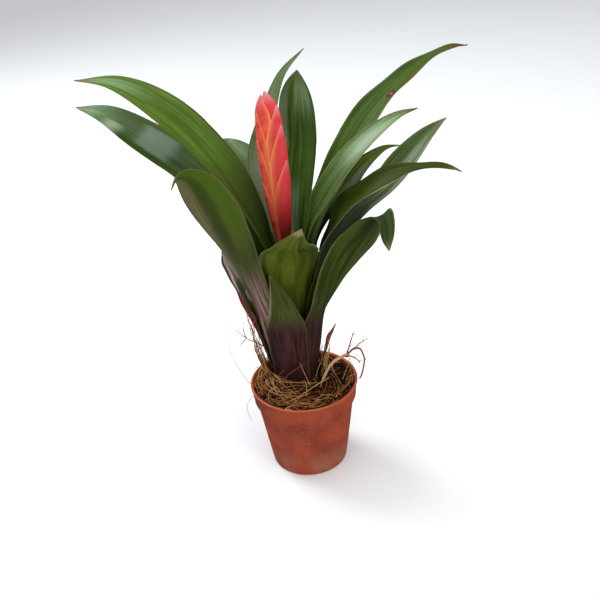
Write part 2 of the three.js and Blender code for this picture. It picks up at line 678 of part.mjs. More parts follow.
// One boat-shaped bract: keel on its outer side, margins meeting on the spike's two faces
function bract(index) {
  const side = index % 2 === 0 ? 1 : -1;
  const length = new THREE.Vector3(...SPIKE_TIP).sub(new THREE.Vector3(...SPIKE_START)).length();
  const start = index / (BRACTS - 1) * (length - BRACT_LENGTH);
  const layered = 1 - 0.25 * index / (BRACTS - 1);
  const rings = [];
  for (const s of [0, 0.2, 0.5, 0.8, 1]) {
    const t = (start + s * BRACT_LENGTH) / length;
    const centre = new THREE.Vector3(...SPIKE_START).lerp(new THREE.Vector3(...SPIKE_TIP), t);
    const taper = s < 0.7 ? smooth(0.35 + s * 1.6) : 1 - 0.8 * ((s - 0.7) / 0.3) ** 1.5;
    const reach = spikeHalfWidth(t) * (s > 0.7 ? 1 - 0.35 * ((s - 0.7) / 0.3) ** 2 : 1);
    const depth = SPIKE_HALF_DEPTH * layered * taper * (0.45 + 0.55 * spikeHalfWidth(t) / SPIKE_HALF_WIDTH);
    const across = reach * (0.35 + 0.45 * (1 - s)) * taper;
    const outline = [
      [reach, 0],
      [reach - 0.3 * across, 0.62 * depth],
      [reach - across, depth],
      [reach - 1.5 * across, 0.55 * depth],
      [reach - 1.5 * across, -0.55 * depth],
      [reach - across, -depth],
      [reach - 0.3 * across, -0.62 * depth],
    ];
    const ring = outline.map(([x, y]) => [centre.x + side * x, centre.y + y, centre.z]);
    if (side < 0) ring.reverse();
    rings.push(ring);
  }
  return toManifold(loft(rings));
}

function buildSpike() {
  const top = new THREE.Vector3(...SPIKE_START).lerp(new THREE.Vector3(...SPIKE_TIP), 0.93).toArray();
  const stalk = strand([SPIKE_FOOT, [-4.4, PLANT_Y, 100], SPIKE_START, top], 2.6, 1.7, 9, 8);
  const pieces = [toManifold(stalk)];
  for (let i = 0; i < BRACTS; i += 1) pieces.push(bract(i));
  return fromManifold(mainBody(wasm.Manifold.union(pieces)));
}

// ---------- the plant ----------

const group = new THREE.Group();

function addPart(name, geometry, colour, roughness) {
  const material = new THREE.MeshStandardMaterial({ color: colour, roughness, metalness: 0 });
  const mesh = new THREE.Mesh(geometry, material);
  mesh.name = name;
  group.add(mesh);
}

addPart('pot', buildPot(), COLOURS.pot, 0.45);
const mixGeometry = buildPottingMix();
addPart('potting_mix', mixGeometry, COLOURS.mix, 0.95);
addPart('coir_fibres', buildCoir(mixGeometry), COLOURS.coir, 0.85);
addPart('roots', buildRoots(), COLOURS.root, 0.6);
addPart('stem', buildStem(), COLOURS.stem, 0.8);
addPart('flower_spike', buildSpike(), COLOURS.spike, 0.4);
for (const leaf of LEAVES) {
  const old = leaf.layer > 5;
  addPart(leaf.name, buildLeaf(leaf), old ? COLOURS.oldLeaf : COLOURS.leaf, 0.35);
}

export default group;
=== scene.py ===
import math
import random

import bpy
from mathutils import Matrix, Vector, noise


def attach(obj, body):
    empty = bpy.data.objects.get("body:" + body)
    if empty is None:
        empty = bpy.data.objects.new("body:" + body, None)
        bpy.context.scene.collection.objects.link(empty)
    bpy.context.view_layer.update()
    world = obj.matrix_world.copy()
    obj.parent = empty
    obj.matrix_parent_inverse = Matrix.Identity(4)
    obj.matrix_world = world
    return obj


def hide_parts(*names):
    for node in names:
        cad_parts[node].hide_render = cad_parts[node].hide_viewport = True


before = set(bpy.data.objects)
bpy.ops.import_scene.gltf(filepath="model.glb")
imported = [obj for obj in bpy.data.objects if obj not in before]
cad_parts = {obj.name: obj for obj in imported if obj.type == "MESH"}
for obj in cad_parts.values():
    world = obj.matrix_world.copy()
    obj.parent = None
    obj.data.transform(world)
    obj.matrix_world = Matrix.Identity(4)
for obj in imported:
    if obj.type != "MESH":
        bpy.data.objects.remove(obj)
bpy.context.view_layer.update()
print("frame loaded:", len(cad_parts), "nodes")

mm = 0.001  # sizes below are in millimetres, and the meshes are in metres


# small helpers

def mix(a, b, k):
    return a + (b - a) * k


def clamp(t, low=0.0, high=1.0):
    return min(max(t, low), high)


def smooth(t):
    x = clamp(t)
    return x * x * (3 - 2 * x)


def keyed(keys, t):
    # smooth value at t along evenly spaced keys
    last = len(keys) - 1
    if last == 0:
        return keys[0]
    x = clamp(t) * last
    i = min(int(x), last - 1)
    k = x - i
    a, b, c, d = keys[max(i - 1, 0)], keys[i], keys[i + 1], keys[min(i + 2, last)]
    bend = (2 * a - 5 * b + 4 * c - d) * k * k + (3 * b - a - 3 * c + d) * k ** 3
    return 0.5 * (2 * b + (c - a) * k + bend)


def linear(value):
    return value / 12.92 if value <= 0.04045 else ((value + 0.055) / 1.055) ** 2.4


def rgb(red, green, blue):
    # a colour as seen on screen, 0 to 255, turned into shader values
    return (linear(red / 255), linear(green / 255), linear(blue / 255), 1.0)


def newPiece(name, points, faces, material, attributes=None, sharpAngle=50):
    mesh = bpy.data.meshes.new(name)
    mesh.from_pydata([Vector(p) * mm for p in points], [], faces)
    for key, values in (attributes or {}).items():
        layer = mesh.attributes.new(key, "FLOAT", "POINT")
        layer.data.foreach_set("value", values)
    mesh.materials.append(material)
    mesh.update()
    mesh.shade_smooth()
    mesh.set_sharp_from_angle(angle=math.radians(sharpAngle))
    piece = bpy.data.objects.new(name, mesh)
    bpy.context.scene.collection.objects.link(piece)
    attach(piece, "root")
    return piece


def tubeFaces(rings, sides, start=0, flip=False):
    # quads from each ring of points to the next, and a cap on each end
    faces = []
    for i in range(rings - 1):
        low, high = start + i * sides, start + (i + 1) * sides
        for j in range(sides):
            k = (j + 1) % sides
            faces.append((low + k, low + j, high + j, high + k) if flip
                         else (low + j, low + k, high + k, high + j))
    first = range(start, start + sides)
    last = range(start + (rings - 1) * sides, start + rings * sides)
    faces.append(tuple(first if flip else reversed(first)))
    faces.append(tuple(reversed(last) if flip else last))
    return faces


def sheetFaces(rows, columns):
    # both sides and the four edges of a thin sheet, its front points first and then its back points
    faces = []
    below = (rows + 1) * (columns + 1)

    def at(i, j):
        return i * (columns + 1) + j

    for i in range(rows):
        for j in range(columns):
            a, b, c, d = at(i, j), at(i + 1, j), at(i + 1, j + 1), at(i, j + 1)
            faces.append((a, b, c, d))
            faces.append((below + a, below + d, below + c, below + b))
        a, b = at(i, 0), at(i + 1, 0)
        faces.append((a, below + a, below + b, b))
        c, d = at(i, columns), at(i + 1, columns)
        faces.append((c, d, below + d, below + c))
    for j in range(columns):
        a, b = at(0, j), at(0, j + 1)
        faces.append((a, b, below + b, below + a))
        c, d = at(rows, j), at(rows, j + 1)
        faces.append((c, below + c, below + d, d))
    return faces


# shader helpers

def newMaterial(name, roughness, gloss=0.5):
    material = bpy.data.materials.new(name)
    material.use_nodes = True
    tree = material.node_tree
    shader = tree.nodes["Principled BSDF"]
    shader.inputs["Roughness"].default_value = roughness
    shader.inputs["Specular IOR Level"].default_value = gloss
    return material, tree, shader


def feed(tree, socket, value):
    # links another node's output, or sets a fixed value
    if isinstance(value, bpy.types.NodeSocket):
        tree.links.new(value, socket)
    else:
        socket.default_value = value


def addNode(tree, kind, sockets=None, **settings):
    made = tree.nodes.new("ShaderNode" + kind)
    for key, value in settings.items():
        setattr(made, key, value)
    for key, value in (sockets or {}).items():
        feed(tree, made.inputs[key], value)
    return made


def readValue(tree, name):
    return addNode(tree, "Attribute", attribute_name=name).outputs["Fac"]


def objectPlace(tree):
    return addNode(tree, "TexCoord").outputs["Object"]


def mathOf(tree, operation, a, b=0.0, c=0.0):
    made = addNode(tree, "Math", operation=operation)
    for socket, value in zip(made.inputs, (a, b, c)):
        feed(tree, socket, value)
    return made.outputs[0]


def times(tree, a, b):
    return mathOf(tree, "MULTIPLY", a, b)


def wander(tree, value, grain, amount):
    # moves value up or down, by amount at most, as the grain goes
    return mathOf(tree, "ADD", value, mathOf(tree, "MULTIPLY_ADD", grain, 2 * amount, -amount))


def fade(tree, value, low, high, start=0.0, end=1.0):
    # start up to low, end from high on, and a soft step between
    made = addNode(tree, "MapRange", {"Value": value, "From Min": low, "From Max": high,
                                      "To Min": start, "To Max": end}, interpolation_type="SMOOTHSTEP")
    return made.outputs["Result"]


def noiseOf(tree, vector, scale, detail=3.0, roughness=0.5):
    made = addNode(tree, "TexNoise", {"Vector": vector, "Scale": scale, "Detail": detail,
                                      "Roughness": roughness})
    return made.outputs["Fac"]


def streaksOf(tree, across, along, scales, shift=0.0, detail=4.0, roughness=0.6):
    # noise stretched by its own scale each way
    vector = addNode(tree, "CombineXYZ", {"X": times(tree, across, scales[0]),
                                          "Y": times(tree, along, scales[1]), "Z": shift})
    return noiseOf(tree, vector.outputs[0], 1, detail, roughness)


def blend(tree, share, first, second):
    made = addNode(tree, "Mix", data_type="RGBA", clamp_factor=True)
    for place, value in ((0, share), (6, first), (7, second)):
        feed(tree, made.inputs[place], value)
    return made.outputs[2]


def bumpOf(tree, height, strength, distance, normal=None):
    sockets = {"Height": height, "Strength": strength, "Distance": distance}
    if normal:
        sockets["Normal"] = normal
    return addNode(tree, "Bump", sockets).outputs[0]


# camera, lights and floor

cameraSettings = {
    "place": (0.0, -0.3768, 0.3158),
    "pitch": 29.5,       # degrees down from level
    "yaw": 0.25,
    "roll": 5.0,
    "lens": 49.0,
}


def addCamera():
    pitch, yaw, roll = (math.radians(cameraSettings[key]) for key in ("pitch", "yaw", "roll"))
    ahead = Vector((math.sin(yaw) * math.cos(pitch), math.cos(yaw) * math.cos(pitch), -math.sin(pitch)))
    right = Vector((math.cos(yaw), -math.sin(yaw), 0))
    up = right.cross(ahead)
    up, right = up * math.cos(roll) + right * math.sin(roll), right * math.cos(roll) - up * math.sin(roll)
    data = bpy.data.cameras.new("camera")
    data.lens = cameraSettings["lens"]
    data.sensor_width = 36.0
    data.clip_start = 0.01
    camera = bpy.data.objects.new("camera", data)
    turn = Matrix((right, up, -ahead)).transposed().to_4x4()
    camera.matrix_world = Matrix.Translation(cameraSettings["place"]) @ turn
    bpy.context.scene.collection.objects.link(camera)
    bpy.context.scene.camera = camera


studio = {
    "floorSize": 14.0,
    "floorColour": rgb(240, 240, 241),
    "airStrength": 0.62,
    "airInReflections": 0.1,
    "airBehind": 0.525,      # past the floor, as bright as its far edge
    "airColour": (0.95, 0.97, 1.0, 1.0),
    # name: place, looked-at point, width, height, watts, colour
    "lights": {
        "windowBehindLeft": ((-0.62, 0.55, 0.85), (0, 0, 0.15), 0.55, 0.42, 9.0, (0.86, 0.94, 1.0)),
        "skyAbove": ((0.1, -0.1, 1.3), (0, 0, 0.1), 0.9, 0.9, 8.0, (1.0, 0.99, 0.97)),
        "frontFill": ((0.75, -0.95, 0.55), (0, 0, 0.12), 0.6, 0.6, 4.0, (1.0, 0.97, 0.93)),
    },
}


def addStudio():
    half = studio["floorSize"] / 2
    corners = [(-half, -half, 0), (half, -half, 0), (half, half, 0), (-half, half, 0)]
    mesh = bpy.data.meshes.new("studioFloor")
    mesh.from_pydata(corners, [], [(0, 1, 2, 3)])
    floor = bpy.data.objects.new("studioFloor", mesh)
    bpy.context.scene.collection.objects.link(floor)
    material, tree, shader = newMaterial("palePaper", 0.9, gloss=0.1)
    shader.inputs["Base Color"].default_value = studio["floorColour"]
    mesh.materials.append(material)
    floor.visible_glossy = False    # keeps a white sheen off the leaves
    for name, (spot, target, width, height, watts, colour) in studio["lights"].items():
        data = bpy.data.lights.new(name, "AREA")
        data.shape = "RECTANGLE"
        data.size = width
        data.size_y = height
        data.energy = watts
        data.color = colour
        light = bpy.data.objects.new(name, data)
        light.location = spot
        light.rotation_euler = (Vector(target) - Vector(spot)).to_track_quat("-Z", "Y").to_euler()
        bpy.context.scene.collection.objects.link(light)
    world = bpy.data.worlds.new("studioAir")
    bpy.context.scene.world = world
    world.use_nodes = True
    tree = world.node_tree
    path = addNode(tree, "LightPath")
    strength = mathOf(tree, "MULTIPLY_ADD", path.outputs["Is Glossy Ray"],
                      studio["airInReflections"] - studio["airStrength"], studio["airStrength"])
    strength = mathOf(tree, "MULTIPLY_ADD", path.outputs["Is Camera Ray"],
                      studio["airBehind"] - studio["airStrength"], strength)
    air = tree.nodes["Background"]
    air.inputs["Color"].default_value = studio["airColour"]
    tree.links.new(strength, air.inputs["Strength"])


addCamera()
addStudio()
bpy.context.scene.view_settings.view_transform = "Standard"
print("camera, floor and lights ready")


# the pot

pot = {
    "height": 52.0, "rimRadius": 30.0, "baseRadius": 21.5, "taper": 5.9,
    "band": 10.0, "bandRadius": 28.7, "bandTaper": 0.8, "wall": 1.2, "floor": 1.6,
    "drainHoles": 5, "drainRadius": 2.0, "drainCircle": 13.0,
    "sides": 144, "sharpAngle": 40, "cloudScale": 55, "speckScale": 900, "grainScale": 1600,
    "colour": rgb(162, 66, 36), "shadowColour": rgb(132, 48, 26), "speckColour": rgb(205, 132, 96),
    "dustColour": rgb(190, 140, 110), "lipHighlight": rgb(214, 112, 72), "roughness": 0.42,
}


def potOuter(z):
    step = pot["height"] - pot["band"]
    if z < step:
        return pot["baseRadius"] + pot["taper"] * z / step
    return pot["bandRadius"] + pot["bandTaper"] * (z - step) / pot["band"]


def potInner(z):
    return potOuter(z) - pot["wall"]


def arc(centre, radius, start, end, steps):
    # points on a round corner of the pot's profile, angles in degrees
    turns = [math.radians(mix(start, end, i / steps)) for i in range(steps + 1)]
    return [(centre[0] + radius * math.cos(a), centre[1] + radius * math.sin(a)) for a in turns]


def turned(profile, sides):
    # points of a turned shape, ring by ring
    turns = [2 * math.pi * j / sides for j in range(sides)]
    return [(radius * math.cos(turn), radius * math.sin(turn), height)
            for radius, height in profile for turn in turns]


def potProfile():
    # (radius, height) from the middle of the underside, over the lip, to the middle of the floor
    step = pot["height"] - pot["band"]
    top = pot["height"]
    rim = pot["rimRadius"]
    base = pot["baseRadius"]
    middle = 0.4
    return (
        [(middle, 0)]
        + [(base - 3.2, 0), (base - 2.6, 0.5), (base - 2.0, 0.0)]                       # groove in the foot
        + arc((base - 0.8, 0.8), 0.8, -90, 0, 5)
        + [(potOuter(z), z) for z in (6, 14, 22, 30, 37)]
        + [(potOuter(step - 1.0), step - 1.0), (potOuter(step - 0.5) + 0.15, step - 0.55)]
        + arc((potOuter(step) - 0.4, step + 0.25), 0.4, -60, 0, 4)                      # foot of the band
        + [(potOuter(z), z) for z in (step + 2, step + 5, top - 1.9)]
        + arc((rim - 0.55, top - 0.62), 0.55, -70, 90, 9)                               # rolled lip
        + [(rim - 1.1, top - 0.12), (potInner(top - 1.1) + 0.15, top - 0.6), (potInner(top - 1.1), top - 1.3)]
        + [(potInner(step + 0.8), step + 0.8), (potInner(step - 0.8), step - 0.8)]
        + [(potInner(z), z) for z in (30, 16, pot["floor"] + 1.4)]
        + [(potInner(3) - 0.9, pot["floor"] + 0.3), (potInner(3) - 1.6, pot["floor"]), (middle, pot["floor"])]
    )


def potMaterial():
    material, tree, shader = newMaterial("terracottaPlastic", pot["roughness"], gloss=0.3)
    spot = objectPlace(tree)
    height = addNode(tree, "SeparateXYZ", {"Vector": spot}).outputs["Z"]
    cloud = noiseOf(tree, spot, pot["cloudScale"], 4, 0.6)
    speck = noiseOf(tree, spot, pot["speckScale"], 2, 0.5)
    colour = blend(tree, fade(tree, cloud, 0.35, 0.7), pot["colour"], pot["shadowColour"])
    colour = blend(tree, fade(tree, speck, 0.62, 0.75, 0, 0.35), colour, pot["speckColour"])
    # dull watering marks near the foot, and a paler lip that is a painted highlight on the rolled lip
    dust = times(tree, fade(tree, height, 0.022, 0.002), fade(tree, cloud, 0.4, 0.6))
    colour = blend(tree, times(tree, dust, 0.35), colour, pot["dustColour"])
    # painted highlight: the top of the rolled lip blends towards a paler colour
    colour = blend(tree, fade(tree, height, 0.0508, 0.0519, 0, 0.45), colour, pot["lipHighlight"])
    tree.links.new(colour, shader.inputs["Base Color"])
    rough = fade(tree, cloud, 0.3, 0.75, pot["roughness"] - 0.07, pot["roughness"] + 0.14)
    tree.links.new(rough, shader.inputs["Roughness"])
    bump = bumpOf(tree, noiseOf(tree, spot, pot["grainScale"], 2, 0.5), 0.12, 0.0002)
    stretched = addNode(tree, "Mapping", {"Vector": spot, "Scale": (40, 40, 700)}).outputs[0]
    scratch = noiseOf(tree, stretched, 1, 3)
    tree.links.new(bumpOf(tree, scratch, 0.1, 0.0003, bump), shader.inputs["Normal"])
    return material


def drainCutters():
    cutters = []
    for i in range(pot["drainHoles"]):
        turn = 2 * math.pi * (i + 0.5) / pot["drainHoles"]
        bpy.ops.mesh.primitive_cylinder_add(
            vertices=32, radius=pot["drainRadius"] * mm, depth=6 * mm,
            location=(pot["drainCircle"] * math.cos(turn) * mm, pot["drainCircle"] * math.sin(turn) * mm, 0))
        cutters.append(bpy.context.object)
    return cutters


def buildPot():
    profile = potProfile()
    piece = newPiece("potShell", turned(profile, pot["sides"]), tubeFaces(len(profile), pot["sides"]),
                     potMaterial(), sharpAngle=pot["sharpAngle"])
    cutters = drainCutters()
    for cutter in cutters:
        cut = piece.modifiers.new("drain", "BOOLEAN")
        cut.object = cutter
        cut.operation = "DIFFERENCE"
        cut.solver = "EXACT"
    graph = bpy.context.evaluated_depsgraph_get()
    finished = bpy.data.meshes.new_from_object(piece.evaluated_get(graph))
    piece.modifiers.clear()
    piece.data = finished
    for cutter in cutters:
        bpy.data.objects.remove(cutter, do_unlink=True)
    finished.shade_smooth()
    finished.set_sharp_from_angle(angle=math.radians(pot["sharpAngle"]))
    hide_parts("pot")


buildPot()
print("pot ready")


# potting mix

plant = {
    "x": -4.5, "y": 6.0,          # a little behind and left of the pot's middle
    "soilLevel": 49.6, "stemHole": 13.9, "stemFoot": 37.7,
    # the sheaths are nested in layers, 0 inside, outer leaves from 6 on: their radius at the collar
    # and at the cup's mouth, and how much it grows with each layer
    "layers": 9, "collarZ": 52.0, "collarRadius": 3.4, "collarStep": 1.22,
    "cupZ": 90.0, "cupRadius": 4.3, "cupStep": 2.05,
    "lowestSheath": 48.0, "sheathStep": 2.0, "sheathArc": 130.0, "outerFrom": 6,
}

soil = {
    "rings": 26, "sides": 150, "lumps": 0.55, "crumbs": 0.5,
    "heap": 2.0, "heapAt": 12.0, "heapWidth": 9.0,      # a low ring round the stem
    "clear": 0.4, "lift": 0.9,                          # gap to the wall, rise of the open surface
    "dark": rgb(20, 12, 8), "brown": rgb(46, 27, 16), "pale": rgb(92, 64, 40),
}


def stemDistance(x, y):
    return math.hypot(x - plant["x"], y - plant["y"])


def mixTop(x, y):
    heap = soil["heap"] * math.exp(-(((stemDistance(x, y) - soil["heapAt"]) / soil["heapWidth"]) ** 2))
    lumps = 0.45 * math.sin(0.55 * x + 0.3) * math.cos(0.6 * y - 0.8) + 0.25 * math.sin(0.9 * y + 0.5 * x)
    return plant["soilLevel"] + heap + lumps


def crumble(x, y):
    # bark and peat crumbs on the open surface
    coarse = noise.noise(Vector((x * 0.42, y * 0.42, 3.1)))
    fine = noise.noise(Vector((x * 1.3, y * 1.3, 9.7)))
    return soil["lumps"] * coarse + soil["crumbs"] * abs(fine)


def mixMaterial():
    material, tree, shader = newMaterial("pottingMix", 0.95, gloss=0.08)
    spot = objectPlace(tree)
    crumbs = addNode(tree, "TexVoronoi", {"Vector": spot, "Scale": 650.0, "Randomness": 1.0})
    patch = noiseOf(tree, spot, 260, 5, 0.65)
    tone = addNode(tree, "SeparateColor", {"Color": crumbs.outputs["Color"]}).outputs[0]
    colour = blend(tree, fade(tree, patch, 0.38, 0.62), soil["dark"], soil["brown"])
    colour = blend(tree, fade(tree, tone, 0.86, 0.98, 0, 0.7), colour, soil["pale"])
    tree.links.new(colour, shader.inputs["Base Color"])
    height = mathOf(tree, "MULTIPLY_ADD", crumbs.outputs["Distance"], -0.6, patch)
    tree.links.new(bumpOf(tree, height, 0.9, 0.0012), shader.inputs["Normal"])
    return material


def buildMix():
    # rings of points from the stem's hole, over the top and down the wall to the pot's floor
    sides = soil["sides"]
    clear = soil["clear"]
    step = pot["height"] - pot["band"]
    edge = potInner(plant["soilLevel"]) - clear
    turns = [2 * math.pi * j / sides for j in range(sides)]
    hole = [(plant["x"] + plant["stemHole"] * math.cos(turn),
             plant["y"] + plant["stemHole"] * math.sin(turn)) for turn in turns]
    points = [(x, y, plant["stemFoot"]) for x, y in hole]
    for i in range(soil["rings"] + 1):
        share = i / soil["rings"]
        lift = soil["lift"] * smooth(share * 9) * smooth((1 - share) * 9)
        for turn, inner in zip(turns, hole):
            x = mix(inner[0], edge * math.cos(turn), share)
            y = mix(inner[1], edge * math.sin(turn), share)
            points.append((x, y, mixTop(x, y) + lift + crumble(x, y) * lift))
    wall = (
        (potInner(step + 2), step + 2), (potInner(step) - 1.2, step + 1), (potInner(step - 1), step - 1),
        (potInner(3), 3.3), (potInner(1.6) - 1.4, 1.9),
    )
    for radius, height in wall:
        reach = radius - clear
        points += [(reach * math.cos(turn), reach * math.sin(turn), height) for turn in turns]
    faces = tubeFaces(len(points) // sides, sides, flip=True)
    piece = newPiece("mixSurface", points, faces, mixMaterial(), sharpAngle=70)
    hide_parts("potting_mix")


buildMix()
print("potting mix ready")


# strands: coir fibres and roots are thin tubes along a few points

def curveThrough(points, steps):
    # Catmull-Rom line through the points
    ends = [points[0] * 2 - points[1]] + list(points) + [points[-1] * 2 - points[-2]]
    line = []
    for i in range(len(points) - 1):
        a, b, c, d = ends[i:i + 4]
        for j in range(steps):
            k = j / steps
            line.append(0.5 * (2 * b + (c - a) * k + (2 * a - 5 * b + 4 * c - d) * k ** 2
                               + (3 * b - a - 3 * c + d) * k ** 3))
    line.append(points[-1].copy())
    return line


def addStrand(store, line, radii, sides, tint):
    # one tube with closed ends, appended to store
    start = len(store["points"])
    normal = None
    for i, centre in enumerate(line):
        ahead = (line[min(i + 1, len(line) - 1)] - line[max(i - 1, 0)]).normalized()
        if normal is None:
            normal = ahead.orthogonal().normalized()
        normal = (normal - ahead * normal.dot(ahead)).normalized()
        side = ahead.cross(normal)
        radius = mix(radii[0], radii[1], i / (len(line) - 1))
        for j in range(sides):
            turn = 2 * math.pi * j / sides
            store["points"].append(centre + (normal * math.cos(turn) + side * math.sin(turn)) * radius)
            store["tint"].append(tint)
            store["run"].append(i / (len(line) - 1))
    store["faces"] += tubeFaces(len(line), sides, start)


def newStore():
    return {"points": [], "faces": [], "tint": [], "run": []}


def strandPiece(name, store, material):
    return newPiece(name, store["points"], store["faces"], material,
                    {"tint": store["tint"], "run": store["run"]}, sharpAngle=80)


# coir nest

coir = {
    "fibres": 330, "seed": 41, "thin": 0.12, "thick": 0.27, "tintMean": 0.56, "tintSpread": 0.28,
    # the nest: its middle, its inner edge and width, the share that curls round it, its depth
    "middle": (1.0, -0.5), "inner": 13, "width": 13.3, "curled": 0.5, "sink": 1.5, "depth": 2.1,
    "curledLength": (8, 27), "crossLength": (6, 18), "curledBend": (0.03, 0.08), "crossBend": (-0.14, 0.14),
    "arch": (0.3, 2.4), "spans": 5,
    "clear": 0.2, "wallReach": 27.4, "overLip": 4, "turnBackAt": 26.8,
    "bareBackRight": 0.95, "bareFrontLeft": 0.5,        # share of the fibres left out there
    # the felted mat under it: deepest at one place, and heaped up round the sheaths
    "matRings": 18, "matSides": 132, "matReach": 27.2, "matLift": 1.8, "matSink": 1.9, "matEdge": 1.6,
    "deepAt": (-14, -10), "deep": 1.3, "deepSpread": 220, "heapAt": 16, "heapWidth": 4.5, "heap": 5,
    # fibres that spring up near the rim, between two places on it in degrees
    "springing": 26, "springArc": (150, 400), "springFrom": 23.5, "springFoot": 53.2, "springReach": 28.4,
    "springHeight": (1.5, 6), "springStep": (2.0, 3.4), "springRadii": (0.18, 0.09),
    # bundles that climb beside the sheaths: azimuth, height of the top, lean
    "climbFoot": 53, "climbEach": 6, "climbRadius": (0.18, 0.34), "climbTip": 0.12,
    "climbing": [(172, 97, 3), (181, 86, 5), (168, 80, -4), (188, 74, 2), (196, 84, 4), (204, 70, -2),
                 (160, 68, 6), (350, 72, -3), (345, 78, 4), (20, 66, 4)],
    # loose ones that stand away from the nest: points, radius, tint
    "loose": [
        ([(-24, -8, 53), (-31, -6, 58), (-37, 0, 68), (-40, 3, 80), (-39, 6, 90)], 0.16, 0.7),
        ([(-24, -11, 54), (-29.5, -12, 51), (-33, -9, 42), (-31.5, -7, 31)], 0.15, 0.6),
        ([(-13, -13.5, 58.5), (-7, -13.8, 66), (1.5, -12.5, 70.5)], 0.13, 0.6),
        ([(3, -15.2, 58), (0.5, -13.6, 65), (-1.5, -12.6, 71)], 0.15, 0.85),
        ([(-15, -14, 57.5), (-13.5, -11.8, 63.5), (-10, -12.6, 67.5)], 0.12, 0.6),
        ([(6.5, -7, 57), (9.5, -2.5, 62.5), (14.5, 3, 64.5), (20, 9, 62), (25.5, 12, 57.5)], 0.15, 0.8),
        ([(9, -12, 56.5), (12, -7, 60.5), (13.5, -1, 62.5), (13, 5, 61)], 0.12, 0.95),
        ([(21, -9, 55.5), (24.5, -3, 59.5), (26.2, 4, 60.5), (25, 10, 57)], 0.14, 0.8),
        ([(17, -3, 55.8), (15, 2, 60), (13.5, 8, 63.5), (12.5, 11, 69)], 0.11, 1.0),
        ([(13.6, -6.6, 55.6), (7.9, -13, 57), (1.6, -18.4, 56.8), (-4.6, -22.6, 55.8), (-11, -24.8, 54.6)],
         0.26, 0.88),
        ([(-21.1, -5.9, 57.2), (-19.4, -11.4, 57.4), (-15.6, -16.2, 57), (-10, -18.6, 56.6), (-4, -18.4, 57)],
         0.24, 0.78),
        ([(-22.6, -8.8, 56), (-16.4, -17.6, 56.2), (-6.4, -20.4, 56)], 0.22, 0.7),
        ([(-14, -10.6, 58.8), (-6.8, -12.2, 58.6), (1.4, -12.4, 57.8), (7.4, -12, 56.6)], 0.2, 0.8),
        ([(15.7, 13.4, 56), (17.2, 5, 59), (16.6, -3, 58.4), (20.3, -14.5, 55.4)], 0.15, 0.85),
        ([(11.2, 8.6, 57), (12.9, 1, 59.4), (12, -6, 57.4), (8.3, -15.5, 56.4)], 0.13, 0.98),
        ([(26.4, 2.8, 54.4), (26.2, -5.6, 54.8), (22, -14.6, 54.4)], 0.2, 0.75),
    ],
    "dark": rgb(22, 12, 7), "brown": rgb(92, 50, 20), "gold": rgb(186, 120, 54), "pale": rgb(234, 198, 146),
}


def matTop(x, y):
    # the coir lies deepest against the sheaths at the front and left
    fromDeep = (x - coir["deepAt"][0]) ** 2 + (y - coir["deepAt"][1]) ** 2
    deep = coir["deep"] * math.exp(-(fromDeep / coir["deepSpread"]))
    heap = coir["heap"] * math.exp(-(((stemDistance(x, y) - coir["heapAt"]) / coir["heapWidth"]) ** 2))
    heap *= smooth((7 - x) / 14)
    lumps = 0.35 * math.sin(0.8 * x - 0.4) * math.sin(0.7 * y + 0.9)
    return mixTop(x, y) + coir["matLift"] + deep + heap + lumps


def clearOfSheaths(z):
    # the sheaths' outer radius, which grows upwards from the collar
    return plant["stemHole"] + coir["clear"] + 0.21 * max(z - plant["collarZ"], 0)


def freePoint(x, y, z):
    # keeps a fibre outside the sheaths and inside the pot's wall
    dx, dy = x - plant["x"], y - plant["y"]
    fromStem = math.hypot(dx, dy)
    least = clearOfSheaths(z) + coir["clear"]
    if fromStem < least:
        x, y = plant["x"] + dx * least / fromStem, plant["y"] + dy * least / fromStem
    reach = math.hypot(x, y)
    most = coir["wallReach"]
    if reach > most and z < pot["height"] + coir["overLip"]:
        x, y = x * most / reach, y * most / reach
    return Vector((x, y, z))


def bareShare(x, y):
    # how often a fibre is left out: mostly at the back right, less at the front left
    backRight = smooth((x + 0.6 * y - 4) / 12)
    frontLeft = smooth((-y - 15) / 5) * smooth((2 - x) / 8)
    return max(coir["bareBackRight"] * backRight, coir["bareFrontLeft"] * frontLeft)


def layFibre(rng):
    # some fibres curl round the stem like a nest, the others lie crosswise
    turn = rng.uniform(0, 2 * math.pi)
    nest = rng.random() < coir["curled"]
    radius = coir["inner"] + coir["width"] * rng.random() ** 0.6
    x = coir["middle"][0] + radius * math.cos(turn)
    y = coir["middle"][1] + radius * math.sin(turn)
    if rng.random() < bareShare(x, y):
        return None
    heading = turn + math.pi / 2 + rng.uniform(-0.6, 0.6) if nest else rng.uniform(0, 2 * math.pi)
    curl = rng.uniform(*coir["curledBend" if nest else "crossBend"])
    length = rng.uniform(*coir["curledLength" if nest else "crossLength"])
    level = rng.random() ** 1.5     # 0 deep in the nest, 1 on top
    points = []
    spans = coir["spans"]
    for i in range(spans + 1):
        share = i / spans
        arch = math.sin(math.pi * share) * rng.uniform(*coir["arch"]) * level
        z = matTop(x, y) - coir["sink"] + coir["depth"] * level + arch
        points.append(freePoint(x, y, z))
        heading += curl * length / spans * rng.uniform(0.6, 1.4)
        x += math.cos(heading) * length / spans
        y += math.sin(heading) * length / spans
        if math.hypot(x, y) > coir["turnBackAt"]:
            heading += 0.6
    return points


def climbingFibre(azimuth, top, lean):
    # stays beside the sheaths and bows out a little on its way up
    points = []
    for t in (0, 0.25, 0.5, 0.75, 1):
        z = mix(coir["climbFoot"], top, t)
        turn = math.radians(azimuth + 2 * lean * t)
        radius = clearOfSheaths(z) + 0.6 + (1.2 + math.sin(azimuth + 5 * t)) * math.sin(math.pi * t)
        points.append(Vector((plant["x"] + radius * math.cos(turn), plant["y"] + radius * math.sin(turn), z)))
    return points


